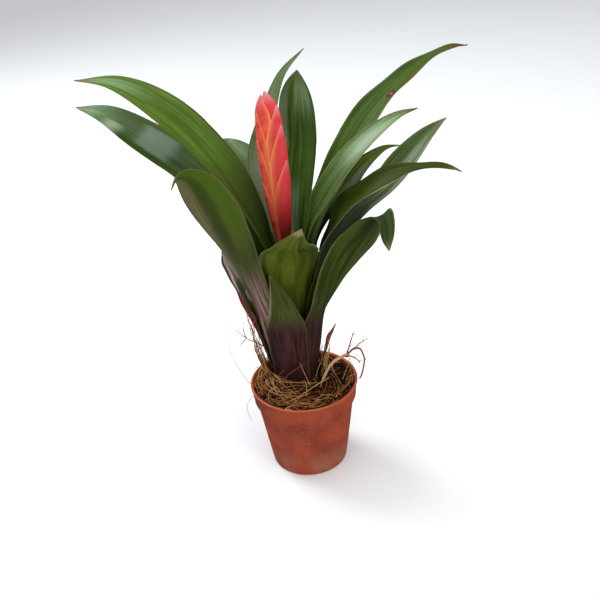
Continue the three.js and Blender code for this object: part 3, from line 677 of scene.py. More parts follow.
def rimFibre(rng):
    # springs up from the nest near the rim and leans over the lip
    first, last = coir["springArc"]
    turn = rng.uniform(math.radians(first), math.radians(last))
    x, y = coir["springFrom"] * math.cos(turn), coir["springFrom"] * math.sin(turn)
    heading = turn + rng.uniform(-1.2, 1.2)
    height = rng.uniform(*coir["springHeight"])
    points = [Vector((x, y, matTop(x, y) - 0.5))]
    for i in range(1, 5):
        share = i / 4
        step = rng.uniform(*coir["springStep"])
        x += math.cos(heading) * step
        y += math.sin(heading) * step
        heading += rng.uniform(0.0, 0.7)
        over = max(math.hypot(x, y) / coir["springReach"], 1)
        x, y = x / over, y / over
        z = coir["springFoot"] + height * math.sin(math.pi * 0.62 * share) * 0.8
        points.append(Vector((x, y, z)))
    return points


def coirMaterial():
    material, tree, shader = newMaterial("coirFibre", 0.7, gloss=0.15)
    tint = readValue(tree, "tint")
    ramp = addNode(tree, "ValToRGB", {"Fac": tint})
    colours = ramp.color_ramp.elements
    colours[0].position, colours[0].color = 0.0, coir["dark"]
    colours[1].position, colours[1].color = 1.0, coir["pale"]
    for position, name in ((0.38, "brown"), (0.74, "gold")):
        made = colours.new(position)
        made.color = coir[name]
    grain = streaksOf(tree, readValue(tree, "run"), tint, (9.0, 60.0), detail=3, roughness=0.5)
    colour = blend(tree, fade(tree, grain, 0.4, 0.75, 0, 0.4), ramp.outputs["Color"], coir["dark"])
    tree.links.new(colour, shader.inputs["Base Color"])
    return material


def addMat(store):
    # the felted layer under the loose fibres, a closed ring round the sheaths, tinted near the darkest coir
    # tone: painted shade of the gaps between fibres, where dark soil also shows
    rings, sides = coir["matRings"], coir["matSides"]
    start = len(store["points"])
    inner = clearOfSheaths(60) + 0.1    # clear of the sheaths up to that height
    for upper in (True, False):
        for i in range(rings + 1):
            share = i / rings if upper else 1 - i / rings
            thinEdge = coir["matEdge"] * smooth((share - 0.86) / 0.14)
            for j in range(sides):
                turn = 2 * math.pi * j / sides
                x = mix(plant["x"] + inner * math.cos(turn), coir["matReach"] * math.cos(turn), share)
                y = mix(plant["y"] + inner * math.sin(turn), coir["matReach"] * math.sin(turn), share)
                coarse = 0.7 * noise.noise(Vector((x * 0.7, y * 0.7, 5.0)))
                lump = coarse + 0.3 * noise.noise(Vector((x * 2, y * 2, 1)))
                top = matTop(x, y) - coir["matSink"] + lump - thinEdge
                z = max(top, mixTop(x, y) + 0.3) if upper else mixTop(x, y) - 1.5
                store["points"].append(Vector((x, y, z)))
                # painted shade: the mat's tint stays near the darkest coir tone
                store["tint"].append(0.12 * abs(noise.noise(Vector((x, y, z)) * 0.9)))
                store["run"].append(0.5)
    loops = 2 * (rings + 1)
    for i in range(loops):
        below, above = start + i * sides, start + (i + 1) % loops * sides
        for j in range(sides):
            k = (j + 1) % sides
            store["faces"].append((below + j, above + j, above + k, below + k))


def buildCoir():
    rng = random.Random(coir["seed"])
    store = newStore()
    addMat(store)
    laid = 0
    while laid < coir["fibres"]:
        points = layFibre(rng)
        if points is None:
            continue
        laid += 1
        thickness = mix(coir["thin"], coir["thick"], rng.random() ** 2)
        tint = clamp(rng.gauss(coir["tintMean"], coir["tintSpread"]), 0.05)
        addStrand(store, curveThrough(points, 3), (thickness, thickness * 0.6), 5, tint)
    for azimuth, top, lean in coir["climbing"]:
        for i in range(coir["climbEach"]):
            points = climbingFibre(azimuth + rng.uniform(-6, 6), top - 7 * i * rng.random(),
                                   lean + rng.uniform(-3, 3))
            points = [p + Vector((rng.uniform(-1, 1), rng.uniform(-1, 1), 0)) * 0.8 for p in points]
            radii = (rng.uniform(*coir["climbRadius"]), coir["climbTip"])
            addStrand(store, curveThrough(points, 4), radii, 5, rng.uniform(0.35, 0.95))
    for i in range(coir["springing"]):
        addStrand(store, curveThrough(rimFibre(rng), 4), coir["springRadii"], 5, rng.uniform(0.3, 0.9))
    for points, radius, tint in coir["loose"]:
        addStrand(store, curveThrough([Vector(p) for p in points], 8), (radius, radius * 0.6), 6, tint)
    piece = strandPiece("coirNest", store, coirMaterial())
    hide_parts("coir_fibres")


buildCoir()
print("coir ready")


# surface roots on the right

roots = {
    # points, radius at the foot and at the tip, tint
    "paths": [
        ([(10.4, -5, 54.15), (12.6, 0.2, 54.4), (16.6, 7.4, 55.6), (22, 11.6, 56.3), (26.5, 13.5, 56.85)],
         0.7, 0.95, 0.0),
        ([(25.5, 12.8, 56.55), (29.5, 12, 61), (33, 8.6, 62.6), (34.8, 5.6, 58), (33.6, 3.4, 52),
          (31.6, 2.4, 47)], 0.62, 0.42, 1.0),
        ([(25, 12.5, 56.35), (27.5, 15, 61), (29.4, 16.7, 66), (30.4, 17.6, 69)], 0.5, 0.22, 0.9),
        ([(25.4, 12.9, 56.55), (31, 15, 60.4), (38.6, 17.2, 64.2)], 0.5, 0.2, 0.95),
        ([(24.6, 12, 56.25), (28, 7.5, 59), (31.5, 5.5, 57), (32.4, 7, 54.4)], 0.45, 0.25, 0.85),
    ],
    "knot": (25.6, 12.9, 56.55), "knotRadius": 1.35, "knotLumps": 0.2, "knotRings": 9, "knotSides": 14,
    "hairsEach": 3, "hairLength": (2, 5), "hairRadii": (0.2, 0.07), "seed": 7,
    "pale": rgb(228, 182, 132), "red": rgb(166, 72, 62), "brown": rgb(120, 70, 44),
}


def rootMaterial():
    material, tree, shader = newMaterial("rootSkin", 0.5)
    tint = readValue(tree, "tint")
    cloud = noiseOf(tree, objectPlace(tree), 420, 4, 0.6)
    colour = blend(tree, fade(tree, tint, 0.2, 0.8), roots["pale"], roots["red"])
    colour = blend(tree, fade(tree, cloud, 0.5, 0.72, 0, 0.7), colour, roots["brown"])
    tree.links.new(colour, shader.inputs["Base Color"])
    tree.links.new(bumpOf(tree, cloud, 0.4, 0.0005), shader.inputs["Normal"])
    return material


def addKnot(store):
    # the pale swelling that the red roots leave from
    rings, sides = roots["knotRings"], roots["knotSides"]
    start = len(store["points"])
    for i in range(rings):
        lean = math.pi * (i + 0.5) / rings
        for j in range(sides):
            turn = 2 * math.pi * j / sides
            flat = math.sin(lean)
            way = Vector((flat * math.cos(turn) * 1.25, flat * math.sin(turn), math.cos(lean) * 0.9))
            radius = roots["knotRadius"] + roots["knotLumps"] * noise.noise(way * 2.2)
            store["points"].append(Vector(roots["knot"]) + way * radius)
            store["tint"].append(0.12)
            store["run"].append(i / rings)
    store["faces"] += tubeFaces(rings, sides, start, flip=True)


def buildRoots():
    rng = random.Random(roots["seed"])
    store = newStore()
    for path, thick, thin, tint in roots["paths"]:
        line = curveThrough([Vector(p) for p in path], 9)
        line = [p + Vector((noise.noise(p * 0.5), noise.noise(p * 0.5 + Vector((9, 0, 0))), 0)) * 0.3
                for p in line]
        addStrand(store, line, (thick, thin), 10, tint)
        for i in range(roots["hairsEach"]):
            # short side rootlets
            base = line[rng.randrange(len(line) // 4, len(line) - 2)]
            way = Vector((rng.uniform(0.1, 1), rng.uniform(-0.8, 0.8), rng.uniform(0.0, 0.9))).normalized()
            tip = base + way * rng.uniform(*roots["hairLength"])
            middle = base.lerp(tip, 0.5) + Vector((0, 0, rng.uniform(0.2, 0.8)))
            hair = curveThrough([base, middle, tip], 4)
            addStrand(store, hair, roots["hairRadii"], 6, clamp(tint + 0.1))
    addKnot(store)
    piece = strandPiece("surfaceRoots", store, rootMaterial())
    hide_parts("roots")


# thin pink rootlets that stick out on the left, under the stub

rootlets = {
    "paths": [
        ([(-20, 5.6, 72), (-25, 5.2, 75.5), (-29.7, 5, 79), (-35.1, 5.5, 84.7)], 0.42, 0.16, 0.8),
        ([(-29.7, 5, 79), (-30.6, 5.4, 84), (-30.2, 6.2, 88.4)], 0.3, 0.14, 0.9),
        ([(-29.7, 5, 79), (-32, 4.6, 76.2), (-33.8, 4.4, 73.6)], 0.3, 0.14, 0.85),
        ([(-22.6, 4.4, 92), (-24.4, 3.4, 88), (-24.6, 3, 83)], 0.5, 0.2, 0.8),
        ([(-23.2, 3.8, 90), (-26.2, 3, 86.4), (-26.6, 2.6, 83.6)], 0.34, 0.16, 0.9),
    ],
}


def buildRootlets():
    store = newStore()
    for path, thick, thin, tint in rootlets["paths"]:
        line = curveThrough([Vector(p) for p in path], 7)
        line = [p + Vector((0, noise.noise(p * 0.6), noise.noise(p * 0.6 + Vector((5, 0, 0))))) * 0.5
                for p in line]
        addStrand(store, line, (thick, thin), 7, tint)
    strandPiece("leftRootlets", store, rootMaterial())


buildRoots()
buildRootlets()
print("roots ready")


# stem, hidden under the sheaths: it keeps its own solid

stemColours = {"dark": rgb(62, 44, 34), "light": rgb(104, 82, 60)}


def finishStem():
    material, tree, shader = newMaterial("stemSkin", 0.8)
    cloud = noiseOf(tree, objectPlace(tree), 220, 4, 0.6)
    colour = blend(tree, fade(tree, cloud, 0.35, 0.65), stemColours["dark"], stemColours["light"])
    tree.links.new(colour, shader.inputs["Base Color"])
    tree.links.new(bumpOf(tree, cloud, 0.5, 0.0008), shader.inputs["Normal"])
    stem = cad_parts["stem"]
    stem.data.materials.clear()
    stem.data.materials.append(material)


finishStem()
print("stem ready")


# leaves

# Each leaf: the way it points (azimuth, 0 right, 90 back), its layer, the height where its blade
# leaves the cup (throat), its midrib as (distance from the plant's axis, height, shift to its left),
# its greatest width, and its cross-section's arc and roll in degrees from throat to tip. The blade
# is neck times that width at the throat, widest at the belly, and a higher point makes a blunter tip.
# Optional: arc of the sheath, wave of the margin (height, count, start), a scar (spot), and marks:
# tone, from and to along (-1 foot, 0 throat, 1 tip), from and to across (-1 right, 1 left), strength,
# how much it breaks up in streaks, and how soft its ends are.
leaves = [
    {"name": "leaf_back_twisted", "azimuth": 90, "layer": 0, "throat": 112, "width": 17,
     "midrib": [(9.5, 134, -1), (13.5, 150, 3), (19, 174, 8), (24, 197, 1), (27, 214, -7), (29, 225, -19)],
     "arc": [110, 70, 60, 80, 100], "roll": [0], "belly": 0.35, "neck": 0.7, "point": 1.1,
     "finish": "silvery", "shade": 1.3,
     # the blue, white and pale bloom marks are painted reflections and sheen, partly the leaf's own pale
     # bloom
     "marks": [
         ("blueBloomAndReflection", (0.1, 0.55), (-0.9, 0.9), 0.95, 0.6, 0.08),
         ("bloomAndSheen", (0.7, 1.1), (-0.9, 0.9), 0.45, 0.5, 0.08),
         ("whiteBloomAndReflection", (0.08, 0.5), (-0.7, 0.2), 0.65, 0.7, 0.08),
     ]},
    {"name": "leaf_back_upright", "azimuth": 50, "layer": 1, "throat": 112, "width": 23.5, "sheath": 104,
     "midrib": [(10, 130), (13, 148), (17.5, 168), (21, 184), (22, 200), (22.5, 217.5)],
     "arc": [95, 60, 40, 40, 50], "roll": [0], "belly": 0.68, "neck": 0.76, "point": 4, "finish": "glossy",
     # the blue bloom streaks and the pale bloom near the tip are painted reflections, partly the leaf's own
     # pale bloom
     "marks": [
         ("blueBloomAndReflection", (0.06, 0.45), (-0.2, 0.95), 0.75, 0.85, 0.08),
         ("blueBloomAndReflection", (0.3, 0.9), (0.6, 1.1), 0.5, 0.5, 0.08),
         ("bloomAndSheen", (0.82, 0.98), (-0.8, 0.3), 0.6, 0.5, 0.08),
     ]},
    {"name": "leaf_left_upper", "azimuth": 160, "layer": 1, "throat": 116, "width": 22.5, "sheath": 104,
     "midrib": [(9.3, 132, 2.2), (14, 150, 3.5), (30, 176.5, 1), (55, 202), (80, 215.5), (104, 217.5)],
     "arc": [100, 80, 50, 40, 50], "roll": [0, -15, -20, -10], "belly": 0.55, "neck": 0.75, "point": 2,
     "finish": "matte", "shade": 0.96,
     # deep green over the foot and the lower blade is painted shade deep in the rosette; the pale bloom near
     # the tip is painted sheen
     "marks": [
         ("deepGreen", (-1, 0.4), (-1.1, 1.1), 0.95, 0.2, 0.18),
         ("oliveBrown", (-1, 0.42), (0.42, 1.1), 0.85, 0.3, 0.08),
         ("bloomAndSheen", (0.78, 0.92), (-0.6, 0.3), 0.45, 0.5, 0.08),
     ]},
    {"name": "leaf_right_tall", "azimuth": 36, "layer": 3, "throat": 112, "width": 17.5, "sheath": 116,
     "midrib": [(15.5, 127), (24, 143), (37, 159.5), (52, 178.5), (74, 194.5), (101, 205), (122, 209),
                  (139, 207)],
     "arc": [90, 70, 50, 40, 40], "roll": [0, 10, 15, 15], "belly": 0.45, "neck": 0.8, "point": 1.3,
     "wave": (0.7, 5, 0.2), "finish": "matte", "shade": 0.62, "spot": (0.62, -0.55),
     "marks": [
         ("redBrown", (0.55, 1.1), (-1.1, -0.9), 0.8, 0.2, 0.08),
         ("redBrown", (0.9, 1.1), (-1.1, 1.1), 0.5, 0.4, 0.08),
     ]},
    {"name": "leaf_front_shield", "azimuth": 275, "layer": 4, "throat": 104, "width": 31, "sheath": 96,
     "midrib": [(19, 121, 0.3), (25.5, 133, 0.7), (35, 143), (46, 152), (58, 167, 4)],
     "arc": [100, 80, 70, 60, 60], "roll": [0], "belly": 0.45, "neck": 0.8, "point": 1.3,
     "finish": "olive", "shade": 1.15,
     # deep green on one half is painted shade of the recessed half behind the fold
     "marks": [
         ("deepGreen", (-0.5, 0.6), (0.1, 1.1), 0.35, 0.4, 0.08),
         ("beige", (0.93, 1.1), (-1.1, 1.1), 0.7, 0.4, 0.03),
     ]},
    {"name": "leaf_right_striped", "azimuth": 12, "layer": 2, "throat": 110, "width": 18, "sheath": 120,
     "midrib": [(11.5, 127), (15, 142), (21, 152), (33, 168), (48, 182), (64, 191.5), (74.5, 194)],
     "arc": [100, 70, 50, 50, 60], "roll": [0, 10, 15], "belly": 0.55, "neck": 0.75, "point": 1.7,
     "finish": "pale", "shade": 0.68,
     # the pale and white bloom streaks are painted reflections, partly the leaf's own pale bloom
     "marks": [
         ("bloomAndSheen", (0.64, 0.92), (-0.8, 0.8), 0.65, 0.6, 0.08),
         ("whiteBloomAndReflection", (0.62, 0.84), (-0.3, 0.5), 0.22, 0.9, 0.08),
         ("deepGreen", (0.84, 0.98), (0.1, 1.1), 0.5, 0.9, 0.05),
         ("dryPink", (0.66, 0.84), (-1.1, -0.5), 0.45, 0.6, 0.08),
     ]},
    {"name": "leaf_left_lower", "azimuth": 154, "layer": 3, "throat": 106, "width": 23, "sheath": 120,
     "midrib": [(16, 130), (31, 153), (52, 171.5), (78, 187), (97, 196.5), (115, 200)],
     "arc": [105, 75, 50, 50, 60], "roll": [0, -15, -20, -15], "belly": 0.6, "neck": 0.8, "point": 2.4,
     "finish": "glossy",
     # the bloom marks are painted reflections and sheen, the blue one a painted window reflection, partly the
     # leaf's own pale bloom
     "marks": [
         ("bloomAndSheen", (0.3, 0.6), (-0.7, 0.7), 0.2, 0.9, 0.08),
         ("blueBloomAndReflection", (0.6, 0.73), (-0.75, 0.55), 0.75, 0.15, 0.025),
         ("whiteBloomAndReflection", (0.8, 0.86), (0.1, 1.1), 0.6, 0.2, 0.025),
         ("bloomAndSheen", (0.88, 1.1), (-1.1, 1.1), 0.5, 0.4, 0.08),
     ]},
    {"name": "leaf_right_narrow", "azimuth": 30, "layer": 4, "throat": 104, "width": 18, "sheath": 110,
     "midrib": [(16, 118, 1), (18.8, 131, 2.2), (28.5, 144, 2), (40, 152.5), (52, 162), (67, 168),
                  (79, 167)],
     "arc": [100, 62, 60, 60, 60], "roll": [0, 10, 10], "belly": 0.5, "neck": 0.6, "point": 1.2,
     "finish": "olive"},
    {"name": "leaf_right_wavy", "azimuth": 350, "layer": 5, "throat": 102, "width": 23, "sheath": 105,
     "midrib": [(19.5, 118), (23.5, 134), (29.5, 147.5), (39, 157.5), (51, 166.5), (67, 172.5),
                  (79, 174), (90, 170.5)],
     "arc": [92, 56, 60, 60, 60], "roll": [0, 4, 18, 6], "belly": 0.4, "neck": 0.8, "point": 1.2,
     "wave": (0.8, 4, 0.1), "finish": "olive", "shade": 0.6,
     # the bright green patch is painted light on the lit upper part of the blade
     "marks": [
         ("paintedLitGreen", (0.08, 0.5), (-0.7, 0.5), 0.4, 0.3, 0.15),
         ("beige", (0.3, 0.85), (-1.1, -0.9), 0.6, 0.3, 0.08),
     ]},
    {"name": "leaf_left_back", "azimuth": 120, "layer": 5, "throat": 102, "width": 18,
     "midrib": [(18.5, 118), (22.2, 139, -0.9), (28.4, 158, -3.2), (36, 171, -3), (46, 176.5), (58, 176)],
     "arc": [80, 60, 50, 60], "roll": [0, -10, -10], "belly": 0.5, "neck": 0.8, "point": 1.6,
     "finish": "silvery", "shade": 0.8,
     # the pale bloom is painted sheen, partly the leaf's own pale bloom
     "marks": [
         ("bloomAndSheen", (0.2, 0.9), (-0.7, 0.7), 0.25, 0.6, 0.08),
         ("beige", (0.2, 1.1), (0.88, 1.1), 0.5, 0.2, 0.08),
     ]},
    {"name": "leaf_front_left", "azimuth": 216, "layer": 6, "throat": 96, "width": 29,
     "midrib": [(20.2, 106), (27.3, 128), (34.5, 149), (41.5, 168), (48, 182), (54, 186), (59, 181.5)],
     "arc": [80, 70, 60, 55, 50], "roll": [0, 10, 30, 38], "belly": 0.6, "neck": 0.75, "point": 2.6,
     "finish": "outerLeft",
     # the bright green marks are painted light that shines through one half of the blade; the deep green
     # marks are painted shade along the fold and low on the blade
     "marks": [
         ("paintedLitGreen", (0.46, 1.1), (0.1, 1.1), 0.85, 0.3, 0.15),
         ("paintedLitGreen", (0.64, 1.1), (-0.1, 1.1), 0.95, 0.2, 0.08),
         ("deepGreen", (0.06, 0.93), (-0.45, 0.3), 0.7, 0.3, 0.13),
         ("khaki", (-0.05, 1.1), (-1.1, -0.26), 0.85, 0.45, 0.22),
         ("deepGreen", (0.0, 0.46), (-0.1, 1.1), 0.7, 0.3, 0.15),
         ("khaki", (-0.1, 0.4), (-1.1, 0.3), 0.55, 0.6, 0.2),
         ("oliveBrown", (-0.2, 0.36), (0.6, 1.1), 0.6, 0.3, 0.08),
     ]},
    {"name": "leaf_right_back", "azimuth": 17, "layer": 6, "throat": 98, "width": 20,
     "midrib": [(23, 115), (31, 130), (44, 144), (60, 155), (72, 166), (84, 177), (94, 184)],
     "arc": [75, 60, 50, 60, 80], "roll": [0, 10, 15], "belly": 0.68, "neck": 0.6, "point": 1.8,
     "finish": "silvery", "shade": 0.8,
     # deep green over the foot and the lower blade is painted shade; the white bloom is painted sheen; the
     # beige strip is partly a painted highlight along the folded margin, partly its pale margin
     "marks": [
         ("deepGreen", (-1, 0.5), (-1.1, 1.1), 0.75, 0.2, 0.08),
         ("whiteBloomAndReflection", (0.58, 0.86), (-0.42, 0.1), 0.4, 0.9, 0.08),
         ("beige", (0.5, 0.9), (-0.9, -0.62), 0.9, 0.6, 0.08),
         ("greyPurple", (0.5, 1.1), (-1.1, -0.88), 0.9, 0.1, 0.08),
     ]},
    {"name": "leaf_front_short", "azimuth": 262, "layer": 8, "throat": 92, "width": 19, "sheath": 84,
     "midrib": [(23, 105), (25.5, 118, -1.5), (28, 130, -4)],
     "arc": [60, 50, 50, 50], "roll": [0], "belly": 0.1, "neck": 1, "point": 1.2, "finish": "purpleFoot",
     "marks": [
         ("beige", (-0.2, 1.1), (-1.1, -0.8), 0.5, 0.4, 0.08),
     ]},
    {"name": "leaf_back_low_right", "azimuth": 70, "layer": 7, "throat": 94, "width": 20, "sheath": 110,
     "midrib": [(25, 112), (34, 126), (46, 136), (58, 138), (68, 134)],
     "arc": [70, 60, 50, 50], "roll": [0], "belly": 0.5, "neck": 0.8, "point": 1.8, "finish": "outer"},
    {"name": "leaf_front_right", "azimuth": 325, "layer": 7, "throat": 94, "width": 25.5, "sheath": 78,
     "midrib": [(24.6, 105), (30.2, 118, 0.4), (38.4, 133, 0.8), (48, 147, 0.8), (54.5, 157, 0.8),
                  (58, 158.8, 0.4), (60, 151.5), (61.5, 141.5)],
     "arc": [68, 55, 40, 45, 50], "roll": [0, -12, -25, -30, -8, 32],
     "belly": 0.5, "neck": 0.76, "point": 2.2, "finish": "outer", "shade": 0.86,
     # the olive band near the upper margin is painted light along the fold
     "marks": [
         ("paintedLitOlive", (0.1, 0.75), (0.45, 0.95), 0.5, 0.6, 0.08),
         ("beige", (0.55, 0.82), (0.9, 1.1), 0.75, 0.2, 0.08),
     ]},
    {"name": "leaf_left_stub", "azimuth": 186, "layer": 7, "throat": 92, "width": 9, "sheath": 45,
     "midrib": [(22.5, 106), (26, 117.5), (30, 128), (32.5, 134)],
     "arc": [26, 60, 60], "roll": [0, -50, -50], "belly": 0.2, "neck": 0.9, "point": 1, "finish": "dried"},
    {"name": "leaf_back_low_left", "azimuth": 110, "layer": 8, "throat": 92, "width": 20, "sheath": 85,
     "midrib": [(27, 110), (37, 124), (48, 134), (60, 138), (70, 137)],
     "arc": [60, 55, 50, 50], "roll": [0], "belly": 0.5, "neck": 0.8, "point": 1.8, "finish": "outer"},
]

blade = {
    "sheathThickness": 0.6, "tipThickness": 0.34, "rowLength": 1.7, "sheathRows": 16, "columns": 16,
    "midribSteps": 24,
    "unevenness": 0.28,      # slow swell of the whole blade
    # shares of the blade, from the throat, over which the cup's form gives way to the blade's own
    "widens": 0.35, "turnsUp": 0.22, "rolls": 0.2, "waves": 0.3,
}

finishes = {
    "matte": {
        "upperDark": rgb(58, 86, 16), "upperLight": rgb(96, 124, 40),
        "lowerDark": rgb(60, 70, 26), "lowerLight": rgb(96, 98, 48),
        "foot": rgb(72, 44, 36), "footEdge": -0.25, "tip": rgb(128, 66, 44), "margin": rgb(116, 96, 54),
        "roughness": 0.5, "gloss": 0.12,
    },
    "glossy": {
        "upperDark": rgb(40, 70, 16), "upperLight": rgb(80, 108, 42),
        "lowerDark": rgb(46, 66, 22), "lowerLight": rgb(88, 104, 48),
        "foot": rgb(70, 44, 38), "footEdge": -0.3, "tip": rgb(112, 106, 70), "margin": rgb(128, 126, 84),
        "roughness": 0.3, "gloss": 0.26,
    },
    "pale": {
        "upperDark": rgb(68, 94, 30), "upperLight": rgb(114, 138, 68),
        "lowerDark": rgb(60, 78, 28), "lowerLight": rgb(96, 112, 52),
        "foot": rgb(60, 60, 26), "footEdge": -0.3, "tip": rgb(58, 62, 34), "margin": rgb(160, 166, 112),
        "roughness": 0.34, "gloss": 0.16,
    },
    "silvery": {
        "upperDark": rgb(56, 82, 30), "upperLight": rgb(100, 122, 68),
        "lowerDark": rgb(66, 84, 42), "lowerLight": rgb(112, 130, 84),
        "foot": rgb(66, 58, 36), "footEdge": -0.3, "tip": rgb(112, 106, 66), "margin": rgb(172, 172, 134),
        "roughness": 0.34, "gloss": 0.24,
    },
    "olive": {
        "upperDark": rgb(48, 64, 4), "upperLight": rgb(82, 98, 18),
        "lowerDark": rgb(48, 62, 5), "lowerLight": rgb(84, 94, 18),
        "foot": rgb(72, 46, 34), "footEdge": -0.25, "tip": rgb(124, 118, 66), "margin": rgb(128, 124, 70),
        "roughness": 0.44, "gloss": 0.12,
    },
    "outer": {
        "upperDark": rgb(40, 58, 20), "upperLight": rgb(66, 88, 40),
        "lowerDark": rgb(38, 52, 5), "lowerLight": rgb(70, 88, 14),
        "foot": rgb(68, 40, 38), "footEdge": 0.1, "tip": rgb(120, 116, 70), "margin": rgb(126, 118, 76),
        "roughness": 0.42, "gloss": 0.14,
    },
    "outerLeft": {
        "upperDark": rgb(54, 74, 12), "upperLight": rgb(80, 98, 26),
        "lowerDark": rgb(58, 64, 22), "lowerLight": rgb(88, 90, 46),
        "foot": rgb(166, 130, 120), "footEdge": 0.24, "tip": rgb(110, 104, 48), "margin": rgb(122, 112, 72),
        "roughness": 0.46, "gloss": 0.14,
    },
    "purpleFoot": {
        "upperDark": rgb(46, 60, 16), "upperLight": rgb(74, 86, 30),
        "lowerDark": rgb(52, 62, 16), "lowerLight": rgb(74, 80, 30),
        "foot": rgb(74, 40, 42), "footEdge": 0.17, "tip": rgb(104, 98, 46), "margin": rgb(104, 92, 56),
        "roughness": 0.46, "gloss": 0.12,
    },
    "dried": {
        "upperDark": rgb(70, 84, 42), "upperLight": rgb(120, 134, 88),
        "lowerDark": rgb(76, 90, 48), "lowerLight": rgb(126, 140, 96),
        "foot": rgb(104, 64, 46), "footEdge": 0.1, "tip": rgb(176, 158, 140), "margin": rgb(110, 74, 54),
        "roughness": 0.55, "gloss": 0.1, "tipStart": 0.55,
    },
}

# Some tones stand in for light: the bloom tones are partly pale waxy bloom and partly painted reflections and
# sheen, the bright green and the olive of the front right leaf are painted light, and deep green is painted
# shade where it darkens a leaf's base or its shaded half.
tones = {
    "bloomAndSheen": rgb(150, 178, 134), "blueBloomAndReflection": rgb(132, 158, 132), "whiteBloomAndReflection": rgb(190, 204, 172),
    "oliveBrown": rgb(88, 84, 44), "khaki": rgb(112, 106, 66), "paintedLitGreen": rgb(70, 94, 6),
    "paintedLitOlive": rgb(80, 82, 42), "deepGreen": rgb(40, 56, 14), "redBrown": rgb(132, 72, 50),
    "beige": rgb(168, 158, 128), "greyPurple": rgb(108, 92, 98), "dryPink": rgb(150, 142, 112),
    "sheathShade": rgb(40, 22, 20), "scar": rgb(74, 40, 24), "scarMiddle": rgb(176, 122, 84),
}


leafGrain = {
    # scales across and along a leaf, and how much each weighs in its tone
    "veins": (34, 2.2), "bands": (5, 2.6), "veinShare": 0.35, "bandShare": 0.65,
    "cloudScale": 70, "cloudShare": 0.3, "toneFrom": 0.34, "toneTo": 0.64,
    # how far colours wander along the veins, where the tip and the margin begin
    "creep": 0.15, "tipCreep": 0.06, "tipStart": 0.93, "tipSoft": 0.07, "marginFrom": 0.94,
    "veinBump": (0.22, 0.0004), "cloudBump": (0.12, 0.0012),
    # the scar's stretch along and across, and the edges of its rim and of its middle
    "scarStretch": (15.0, 1.1), "scarEdge": (0.34, 0.22), "scarMiddleEdge": (0.14, 0.06),
}


def sheathRadius(layer, z):
    t = clamp((z - plant["collarZ"]) / (plant["cupZ"] - plant["collarZ"]), -0.4, 1.6)
    foot = plant["collarRadius"] + plant["collarStep"] * layer
    cup = plant["cupRadius"] + plant["cupStep"] * layer
    return foot + (cup - foot) * t


def sheathBase(layer):
    return plant["lowestSheath"] + (plant["layers"] - 1 - layer) * plant["sheathStep"]


def bladeProfile(u, leaf):
    # share of the full width: widest at the belly, drawn out to the tip
    if u < leaf["belly"]:
        return leaf["neck"] + (1 - leaf["neck"]) * smooth(u / leaf["belly"])
    x = (u - leaf["belly"]) / (1 - leaf["belly"])
    return 1 - x ** leaf["point"] + 0.02    # the tip itself is a little blunt


def midribLine(points):
    # centripetal Catmull-Rom line, the same as the solid leaves use
    steps = blade["midribSteps"]
    ends = [points[0] * 2 - points[1]] + points + [points[-1] * 2 - points[-2]]
    line = []
    for i in range(len(points) - 1):
        a, b, c, d = ends[i:i + 4]
        t0, t1, t2 = math.sqrt((b - a).length), math.sqrt((c - b).length), math.sqrt((d - c).length)
        m0 = ((b - a) / t0 - (c - a) / (t0 + t1) + (c - b) / t1) * t1
        m1 = ((c - b) / t1 - (d - b) / (t1 + t2) + (d - c) / t2) * t1
        for j in range(steps):
            k = j / steps
            line.append(b + m0 * k + (-3 * b + 3 * c - 2 * m0 - m1) * k ** 2
                        + (2 * b - 2 * c + m0 + m1) * k ** 3)
    line.append(points[-1].copy())
    return line


def leafMidrib(leaf, out, side):
    foot = sheathBase(leaf["layer"])
    heights = (foot, (foot + leaf["throat"]) / 2, leaf["throat"])
    path = [(sheathRadius(leaf["layer"], z), z) for z in heights] + list(leaf["midrib"])
    points = []
    for step in path:
        shift = step[2] if len(step) > 2 else 0
        points.append(Vector((plant["x"], plant["y"], step[1])) + out * step[0] + side * shift)
    line = midribLine(points)
    lengths = [0.0]
    for i in range(1, len(line)):
        lengths.append(lengths[-1] + (line[i] - line[i - 1]).length)
    throat = (len(heights) - 1) * blade["midribSteps"]
    return {"line": line, "lengths": lengths, "sheath": lengths[throat] / lengths[-1]}


def pointAt(midrib, share):
    lengths = midrib["lengths"]
    wanted = clamp(share) * lengths[-1]
    low, high = 0, len(lengths) - 1
    while high - low > 1:
        middle = (low + high) // 2
        if lengths[middle] < wanted:
            low = middle
        else:
            high = middle
    k = (wanted - lengths[low]) / (lengths[high] - lengths[low])
    return midrib["line"][low].lerp(midrib["line"][high], k)


def leafSection(leaf, midrib, share, side):
    # middle, directions across and up, arc and radius of the cross-section at one place
    centre = pointAt(midrib, share)
    nearby = 0.012
    along = (pointAt(midrib, share + nearby) - pointAt(midrib, share - nearby)).normalized()
    inward = Vector((plant["x"] - centre.x, plant["y"] - centre.y, 0))
    fromAxis = inward.length
    inward.normalize()
    u = (share - midrib["sheath"]) / (1 - midrib["sheath"])
    if u <= 0:
        k = smooth(share / midrib["sheath"])
        turn = math.radians(mix(leaf.get("sheath", plant["sheathArc"]), leaf["arc"][0], k))
        return centre, side.copy(), inward, turn, fromAxis
    throatWidth = math.radians(leaf["arc"][0]) * sheathRadius(leaf["layer"], leaf["throat"])
    width = mix(throatWidth, leaf["width"] * bladeProfile(u, leaf), smooth(u / blade["widens"]))
    bend = max(width / math.radians(max(keyed(leaf["arc"], u), 4)), 0.7)
    across = (side - along * side.dot(along)).normalized()
    face = along.cross(across)
    roll = math.radians(keyed(leaf["roll"], u)) * smooth(u / blade["rolls"])
    up = face * math.cos(roll) - across * math.sin(roll)
    across = across * math.cos(roll) + face * math.sin(roll)
    up = up.lerp(inward, 1 - smooth(u / blade["turnsUp"])).normalized()
    across = (across - up * across.dot(up)).normalized()
    return centre, across, up, width / bend, bend


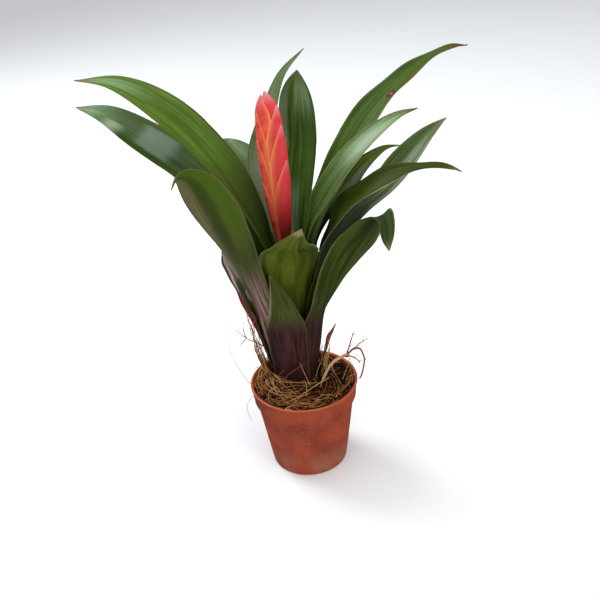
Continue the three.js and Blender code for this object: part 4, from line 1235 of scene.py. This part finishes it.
def ripple(leaf, u, v):
    # the two margins wave out of step with each other
    if "wave" not in leaf:
        return 0.0
    height, count, start = leaf["wave"]
    turn = 2 * math.pi * (count * u + start) + (2 if v > 0 else 0)
    return height * math.sin(turn) * smooth(u / blade["waves"]) * abs(v) ** 2.5


def leafPoint(leaf, midrib, share, v, side, seed):
    # upper and lower skin at one place on the leaf
    centre, across, up, turn, bend = leafSection(leaf, midrib, share, side)
    u = (share - midrib["sheath"]) / (1 - midrib["sheath"])
    angle = v * turn / 2
    swell = noise.noise(Vector((u * 5, v * 1.3, seed * 3.7))) * blade["unevenness"]
    swell *= smooth(u / blade["waves"])
    rise = bend * (1 - math.cos(angle)) + ripple(leaf, u, v) + swell
    p = centre + across * (bend * math.sin(angle)) + up * rise
    n = up * math.cos(angle) - across * math.sin(angle)
    thickness = mix(blade["sheathThickness"], blade["tipThickness"], clamp(u * 1.3))
    half = thickness / 2 * (1 - 0.55 * abs(v) ** 5)     # thinner at the margins
    return p + n * half, p - n * half, u


def buildLeaf(leaf, seed):
    angle = math.radians(leaf["azimuth"])
    out = Vector((math.cos(angle), math.sin(angle), 0))
    side = Vector((0, 0, 1)).cross(out)
    midrib = leafMidrib(leaf, out, side)
    length = midrib["lengths"][-1] * (1 - midrib["sheath"])
    rows = round(length / blade["rowLength"])
    shares = [midrib["sheath"] * i / blade["sheathRows"] for i in range(blade["sheathRows"])]
    shares += [mix(midrib["sheath"], 1, i / rows) for i in range(rows + 1)]
    columns = blade["columns"]
    upper, lower, alongs, acrosses = [], [], [], []
    for share in shares:
        for j in range(columns + 1):
            v = 2 * j / columns - 1
            top, under, u = leafPoint(leaf, midrib, share, v, side, seed)
            upper.append(top)
            lower.append(under)
            alongs.append(u if u > 0 else share / midrib["sheath"] - 1)
            acrosses.append(v)
    attributes = {
        "along": alongs * 2,
        "across": acrosses * 2,
        "upper": [1.0] * len(upper) + [0.0] * len(lower),
    }
    faces = sheetFaces(len(shares) - 1, columns)
    name = leaf["name"].replace("leaf_", "blade_")
    piece = newPiece(name, upper + lower, faces, leafMaterial(leaf, seed), attributes)
    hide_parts(leaf["name"])


def leafMaterial(leaf, seed):
    finish = finishes[leaf["finish"]]
    # shade scales a leaf's greens to how lit it lies in the rosette: painted shade below 1 and painted light
    # above 1, partly the leaf's own tone
    shade = leaf.get("shade", 1.0)
    greens = {key: [c * shade for c in finish[key][:3]] + [1.0]
              for key in ("upperDark", "upperLight", "lowerDark", "lowerLight")}
    name = leaf["name"].replace("leaf_", "leafSkin_")
    material, tree, shader = newMaterial(name, finish["roughness"], finish["gloss"])
    along = readValue(tree, "along")
    across = readValue(tree, "across")
    upper = readValue(tree, "upper")
    cloud = noiseOf(tree, objectPlace(tree), leafGrain["cloudScale"], 4, 0.6)
    veins = streaksOf(tree, across, along, leafGrain["veins"], seed * 1.7)
    bands = streaksOf(tree, across, along, leafGrain["bands"], seed * 2.9, detail=3, roughness=0.5)
    tone = mathOf(tree, "ADD", times(tree, bands, leafGrain["bandShare"]),
                  times(tree, veins, leafGrain["veinShare"]))
    light = fade(tree, tone, leafGrain["toneFrom"], leafGrain["toneTo"])
    top = blend(tree, light, greens["upperDark"], greens["upperLight"])
    under = blend(tree, light, greens["lowerDark"], greens["lowerLight"])
    colour = blend(tree, upper, under, top)
    colour = blend(tree, fade(tree, cloud, 0.4, 0.7, 0, leafGrain["cloudShare"]), colour, greens["upperDark"])
    for mark in leaf.get("marks", []):
        colour = addMark(tree, colour, along, across, (veins, cloud), mark)
    # sheath colour creeps up the veins
    reach = wander(tree, along, veins, leafGrain["creep"])
    footShare = fade(tree, reach, finish["footEdge"] + 0.16, finish["footEdge"] - 0.2)
    # painted shade: the sheath's colour in shade is mixed in by the grain, and more of it towards the foot
    foot = blend(tree, fade(tree, tone, 0.35, 0.65), finish["foot"], tones["sheathShade"])
    foot = blend(tree, fade(tree, along, -0.35, -0.98, 0, 0.8), foot, tones["sheathShade"])
    colour = blend(tree, footShare, colour, foot)
    # thin dry margin, and the tip
    margin = fade(tree, mathOf(tree, "ABSOLUTE", across), leafGrain["marginFrom"], 0.995, 0, 0.5)
    colour = blend(tree, margin, colour, finish["margin"])
    tipFrom = finish.get("tipStart", leafGrain["tipStart"])
    tipReach = wander(tree, along, veins, leafGrain["tipCreep"])
    tip = fade(tree, tipReach, tipFrom, tipFrom + leafGrain["tipSoft"], 0, 0.85)
    colour = blend(tree, tip, colour, finish["tip"])
    if "spot" in leaf:
        colour = addSpot(tree, colour, along, across, leaf["spot"])
    tree.links.new(colour, shader.inputs["Base Color"])
    rough = fade(tree, tone, 0.3, 0.7, finish["roughness"] - 0.05, finish["roughness"] + 0.12)
    tree.links.new(rough, shader.inputs["Roughness"])
    bump = bumpOf(tree, veins, *leafGrain["veinBump"])
    tree.links.new(bumpOf(tree, cloud, *leafGrain["cloudBump"], bump), shader.inputs["Normal"])
    return material


def addMark(tree, colour, along, across, grains, mark):
    # a patch of another tone between two places along and two across, drawn out in streaks
    veins, cloud = grains
    tone, alongEnds, acrossEnds, strength, streaks, soft = mark
    run = wander(tree, along, veins, soft)
    reach = wander(tree, across, cloud, leafGrain["creep"])
    mask = fade(tree, veins, 0.4, 0.58, strength * (1 - streaks), strength)
    for value, ends, width in ((run, alongEnds, soft), (reach, acrossEnds, max(soft, 0.09))):
        if ends[0] > -1:
            mask = times(tree, mask, fade(tree, value, ends[0] - width, ends[0] + width))
        if ends[1] < 1:
            mask = times(tree, mask, fade(tree, value, ends[1] + width, ends[1] - width))
    return blend(tree, mask, colour, tones[tone])


def addSpot(tree, colour, along, across, centre):
    # a small round brown scar with a paler middle
    dx = times(tree, mathOf(tree, "SUBTRACT", along, centre[0]), leafGrain["scarStretch"][0])
    dy = times(tree, mathOf(tree, "SUBTRACT", across, centre[1]), leafGrain["scarStretch"][1])
    far = mathOf(tree, "SQRT", mathOf(tree, "ADD", times(tree, dx, dx), times(tree, dy, dy)))
    far = wander(tree, far, noiseOf(tree, objectPlace(tree), 500, 2), 0.1)
    colour = blend(tree, fade(tree, far, *leafGrain["scarEdge"]), colour, tones["scar"])
    return blend(tree, fade(tree, far, *leafGrain["scarMiddleEdge"], 0, 0.8), colour, tones["scarMiddle"])


for seed, leaf in enumerate(leaves):
    buildLeaf(leaf, seed)
print("leaves ready:", len(leaves))


# dried scraps beside the sheaths, each a thin sheet between an outer and an inner edge

scraps = {
    "thickness": 0.26, "steps": 5, "columns": 10, "crinkle": 0.45,
    # azimuth, then rows from the top: reach and height of the outer edge, and of the inner edge
    "leftMembrane": (184, [
        (31.9, 133.6, 29.6, 130), (32.9, 127.3, 24.4, 122.1), (32.0, 123.1, 20.4, 115),
        (29.9, 116.2, 18.6, 107), (27.3, 109.5, 17.2, 100), (25.5, 101.1, 15.7, 93),
        (22.6, 93.3, 14.6, 84.7), (20.5, 87.4, 14.0, 77.1), (18.0, 79.6, 13.6, 68.4),
        (15.6, 69.3, 12.6, 60.1)]),
    "rightFlap": (352, [
        (25.0, 84.6, 24.4, 84.4), (23.2, 80, 21.6, 80.3), (21.6, 76, 19.1, 76.5), (20.2, 72, 18.1, 72),
        (18.9, 68, 17.2, 68), (17.9, 63, 16.3, 63), (17.2, 58, 15.6, 58)]),
    "grey": rgb(140, 138, 130), "white": rgb(190, 184, 178), "pink": rgb(206, 180, 180),
    "rim": rgb(88, 58, 46), "crimson": rgb(140, 48, 44), "darkStraw": rgb(56, 44, 24),
    "straw": rgb(122, 98, 60), "russet": rgb(128, 66, 52),
}


def scrapGrid(azimuth, rows):
    turn = math.radians(azimuth)
    out = Vector((math.cos(turn), math.sin(turn), 0))
    axis = Vector((plant["x"], plant["y"], 0))
    outer = curveThrough([axis + out * row[0] + Vector((0, 0, row[1])) for row in rows], scraps["steps"])
    inner = curveThrough([axis + out * row[2] + Vector((0, 0, row[3])) for row in rows], scraps["steps"])
    facing = Vector((0, 0, -1)).cross(-out)
    columns = scraps["columns"]
    fronts, backs, alongs, acrosses = [], [], [], []
    for i, (left, right) in enumerate(zip(outer, inner)):
        for j in range(columns + 1):
            q = j / columns
            p = left.lerp(right, q)
            crease = noise.noise(Vector((p.x * 0.3, q * 3, p.z * 0.12))) * scraps["crinkle"]
            p += facing * crease
            fronts.append(p + facing * scraps["thickness"] / 2)
            backs.append(p - facing * scraps["thickness"] / 2)
            alongs.append(i / (len(outer) - 1))
            acrosses.append(q)
    return fronts + backs, alongs * 2, acrosses * 2, sheetFaces(len(outer) - 1, columns)


def scrapMaterial(name):
    material, tree, shader = newMaterial("dryScrap_" + name, 0.65, gloss=0.15)
    along = readValue(tree, "along")
    across = readValue(tree, "across")
    grain = streaksOf(tree, across, along, (9, 5), roughness=0.5)
    reach = wander(tree, along, grain, 0.1)
    straw = blend(tree, fade(tree, grain, 0.4, 0.62), scraps["darkStraw"], scraps["straw"])
    if name == "leftMembrane":
        paper = blend(tree, fade(tree, grain, 0.38, 0.62), scraps["grey"], scraps["white"])
        lower = times(tree, fade(tree, reach, 0.2, 0.34), fade(tree, across, 0.6, 0.4))
        paper = blend(tree, lower, paper, scraps["pink"])
        paper = blend(tree, fade(tree, across, 0.2, 0.1), paper, scraps["rim"])
        rim = times(tree, fade(tree, across, 0.28, 0.16), fade(tree, reach, 0.92, 0.8))
        straw = blend(tree, rim, straw, scraps["crimson"])
        colour = blend(tree, fade(tree, reach, 0.42, 0.5), paper, straw)
    else:
        colour = blend(tree, fade(tree, reach, 0.62, 0.3, 0, 0.9), straw, scraps["russet"])
    tree.links.new(colour, shader.inputs["Base Color"])
    tree.links.new(bumpOf(tree, grain, 0.4, 0.0005), shader.inputs["Normal"])
    return material


def buildScrap(name):
    points, alongs, acrosses, faces = scrapGrid(*scraps[name])
    newPiece(name, points, faces, scrapMaterial(name), {"along": alongs, "across": acrosses})


buildScrap("leftMembrane")
buildScrap("rightFlap")
print("scraps ready")


# flower spike

spike = {
    "foot": (-4.5, 6.0, 65.8), "bend": (-4.4, 6.0, 100.0), "start": (-3.9, 6.0, 132.0),
    "stalkTop": 205.0, "tip": (-6.4, 6.0, 213.0),
    "stalkRadii": (2.6, 1.5), "halfWidth": 7.3, "leastHalfWidth": 2.2, "halfDepth": 3.6,
    "rows": 30, "columns": 20, "thickness": 0.5,
    # the keel's reach at the foot and above, as a share of the half width; each later bract lies closer in
    "keelFoot": 0.3, "keelTop": 1.03, "keelStep": 0.012, "depthStep": 0.03,
    # side (-1 left, 1 right), height of foot and tip, the tip's share of the half width, the margin's place
    # low down and higher up (less than 0 is past the middle), and where the taper to the tip begins
    "bracts": [
        (-1, 112, 168, 0.97, 0.22, 0.4, 0.62), (1, 118, 179, 0.88, -0.42, -0.22, 0.62),
        (-1, 130, 190, 0.95, 0.22, 0.42, 0.6), (1, 142, 197, 0.86, -0.4, -0.2, 0.6),
        (-1, 150, 203.5, 0.84, 0.22, 0.3, 0.62), (1, 156, 206.5, 0.82, -0.4, -0.3, 0.62),
        (-1, 160, 211.4, 0.62, -0.2, -0.15, 0.82), (1, 164, 213, -0.08, -0.55, -0.55, 0.86),
    ],
    "bluntFrom": 0.8,        # the keel rounds in to the tip from here
    "red": rgb(220, 46, 40), "coral": rgb(246, 98, 80), "rose": rgb(222, 50, 66),
    "orange": rgb(240, 130, 70), "yellow": rgb(250, 196, 100), "tipPinkAndHighlight": rgb(245, 150, 158),
    "darkRed": rgb(86, 14, 6),
    # where each colour begins and where it is full: orange and yellow from the keel (0) to the margin (1),
    # pink, partly a painted highlight, from foot (0) to tip (1), and dark red downwards as painted shade, by
    # height in metres
    "orangeBorder": (0.7, 0.98), "yellowBorder": (0.92, 1.04), "pinkAndHighlightRun": (0.86, 1.0),
    "paintedFootShade": (0.166, 0.138),
}


def spikeAxis(z):
    start, tip = Vector(spike["start"]), Vector(spike["tip"])
    return start.lerp(tip, (z - start.z) / (tip.z - start.z))


def spikeHalfWidth(z):
    t = (z - spike["start"][2]) / (spike["tip"][2] - spike["start"][2])
    swell = math.sin(math.pi * clamp(0.13 + 0.62 * t)) ** 0.9
    crown = math.sqrt(1 - clamp((t - 0.86) / 0.165) ** 2)
    return spike["halfWidth"] * swell * crown


def bractPoint(order, bract, s, q):
    # s runs from foot to tip, q from one margin over the keel to the other
    side, foot, tip, tipShare, lowReach, highReach, taper = bract
    z = mix(foot, tip, s)
    wide = max(spikeHalfWidth(z), spike["leastHalfWidth"])
    keelTop = spike["keelTop"] - spike["keelStep"] * order
    keel = wide * mix(spike["keelFoot"], keelTop, smooth(s / 0.4))
    margin = min(mix(lowReach, highReach, s) * wide, keel - 0.4)
    margin = mix(margin, tipShare * wide - 0.15, clamp((s - taper) / (1 - taper)) ** 1.7)
    past = clamp((s - spike["bluntFrom"]) / (1 - spike["bluntFrom"]))
    outer = mix(tipShare * wide + 0.15, keel, math.sqrt(1 - past * past))
    x = mix(outer, margin, abs(q) ** 1.25)
    lens = math.sqrt(max(1 - clamp(x / (keel + 0.02), -1, 1) ** 2, 0)) * min(abs(q) * 4, 1)
    depth = spike["halfDepth"] * (0.45 + 0.55 * wide / spike["halfWidth"])
    depth *= 1.0 - spike["depthStep"] * order
    centre = spikeAxis(z)
    y = centre.y + math.copysign(depth * lens, q) if q else centre.y
    return Vector((centre.x + side * x, y, z))


def buildBract(store, order, bract):
    rows, columns = spike["rows"], spike["columns"]
    start = len(store["points"])
    side = bract[0]
    grid = [[bractPoint(order, bract, i / rows, 2 * j / columns - 1) for j in range(columns + 1)]
            for i in range(rows + 1)]
    inner = []
    for i in range(rows + 1):
        for j in range(columns + 1):
            across = grid[i][min(j + 1, columns)] - grid[i][max(j - 1, 0)]
            along = grid[min(i + 1, rows)][j] - grid[max(i - 1, 0)][j]
            normal = across.cross(along) * side
            normal = normal.normalized() if normal.length > 1e-6 else Vector((side, 0, 0))
            store["points"].append(grid[i][j])
            inner.append(grid[i][j] - normal * spike["thickness"])
    store["points"] += inner
    for skin in ("outside", "inside"):
        for i in range(rows + 1):
            for j in range(columns + 1):
                store["run"].append(i / rows)
                store["edge"].append(abs(2 * j / columns - 1))
                store["order"].append(order / (len(spike["bracts"]) - 1))
                store["right"].append(float(side > 0))
    faces = sheetFaces(rows, columns)
    for face in faces:
        corners = [start + k for k in face]
        store["faces"].append(tuple(corners if side < 0 else reversed(corners)))


def spikeMaterial():
    material, tree, shader = newMaterial("waxyBract", 0.4, gloss=0.25)
    run = readValue(tree, "run")
    edge = readValue(tree, "edge")
    order = readValue(tree, "order")
    right = readValue(tree, "right")
    spot = objectPlace(tree)
    height = addNode(tree, "SeparateXYZ", {"Vector": spot}).outputs["Z"]
    veins = streaksOf(tree, edge, run, (16, 2.5), times(tree, order, 40))
    cloud = noiseOf(tree, spot, 160, 3, 0.5)
    left = blend(tree, fade(tree, cloud, 0.25, 0.62), spike["red"], spike["coral"])
    colour = blend(tree, times(tree, right, 0.75), left, spike["rose"])
    colour = blend(tree, fade(tree, veins, 0.5, 0.75, 0, 0.3), colour, spike["darkRed"])
    # orange then yellow towards the margin, less so low down
    border = wander(tree, edge, veins, 0.15)
    body = times(tree, fade(tree, run, 0.08, 0.25), fade(tree, height, 0.142, 0.18, 0.2, 1))
    orange = times(tree, fade(tree, border, *spike["orangeBorder"], 0, 0.75), body)
    colour = blend(tree, orange, colour, spike["orange"])
    yellow = times(tree, fade(tree, border, *spike["yellowBorder"], 0, 0.85), body)
    colour = blend(tree, yellow, colour, spike["yellow"])
    # pink at the tips, partly their own colour and partly a painted highlight, of which the low ones on the
    # left hardly have any
    pinkness = mathOf(tree, "MULTIPLY_ADD", order, 0.75, mathOf(tree, "MULTIPLY_ADD", right, 0.35, 0.15))
    pink = times(tree, fade(tree, run, *spike["pinkAndHighlightRun"], 0, 0.7), mathOf(tree, "MINIMUM", pinkness, 1.0))
    colour = blend(tree, pink, colour, spike["tipPinkAndHighlight"])
    # painted shade: dark at the foot, deep in the rosette, more so on the right
    rightwards = mathOf(tree, "MULTIPLY_ADD", right, 0.5, 0.5)
    foot = times(tree, fade(tree, height, *spike["paintedFootShade"], 0, 0.9), rightwards)
    colour = blend(tree, foot, colour, spike["darkRed"])
    tree.links.new(colour, shader.inputs["Base Color"])
    tree.links.new(bumpOf(tree, veins, 0.2, 0.0004), shader.inputs["Normal"])
    return material


def buildSpike():
    # the stalk runs up inside the bracts, and is plain red
    stalk = newStore()
    path = [Vector(spike[key]) for key in ("foot", "bend", "start")] + [spikeAxis(spike["stalkTop"])]
    addStrand(stalk, curveThrough(path, 10), spike["stalkRadii"], 16, 0.0)
    values = ("run", "edge", "order", "right")
    store = {"points": stalk["points"], "faces": stalk["faces"]}
    for key in values:
        store[key] = [0.0] * len(stalk["points"])
    for order, bract in enumerate(spike["bracts"]):
        buildBract(store, order, bract)
    piece = newPiece("spikeBracts", store["points"], store["faces"], spikeMaterial(),
                     {key: store[key] for key in values}, sharpAngle=60)
    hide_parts("flower_spike")


buildSpike()
print("flower spike ready")
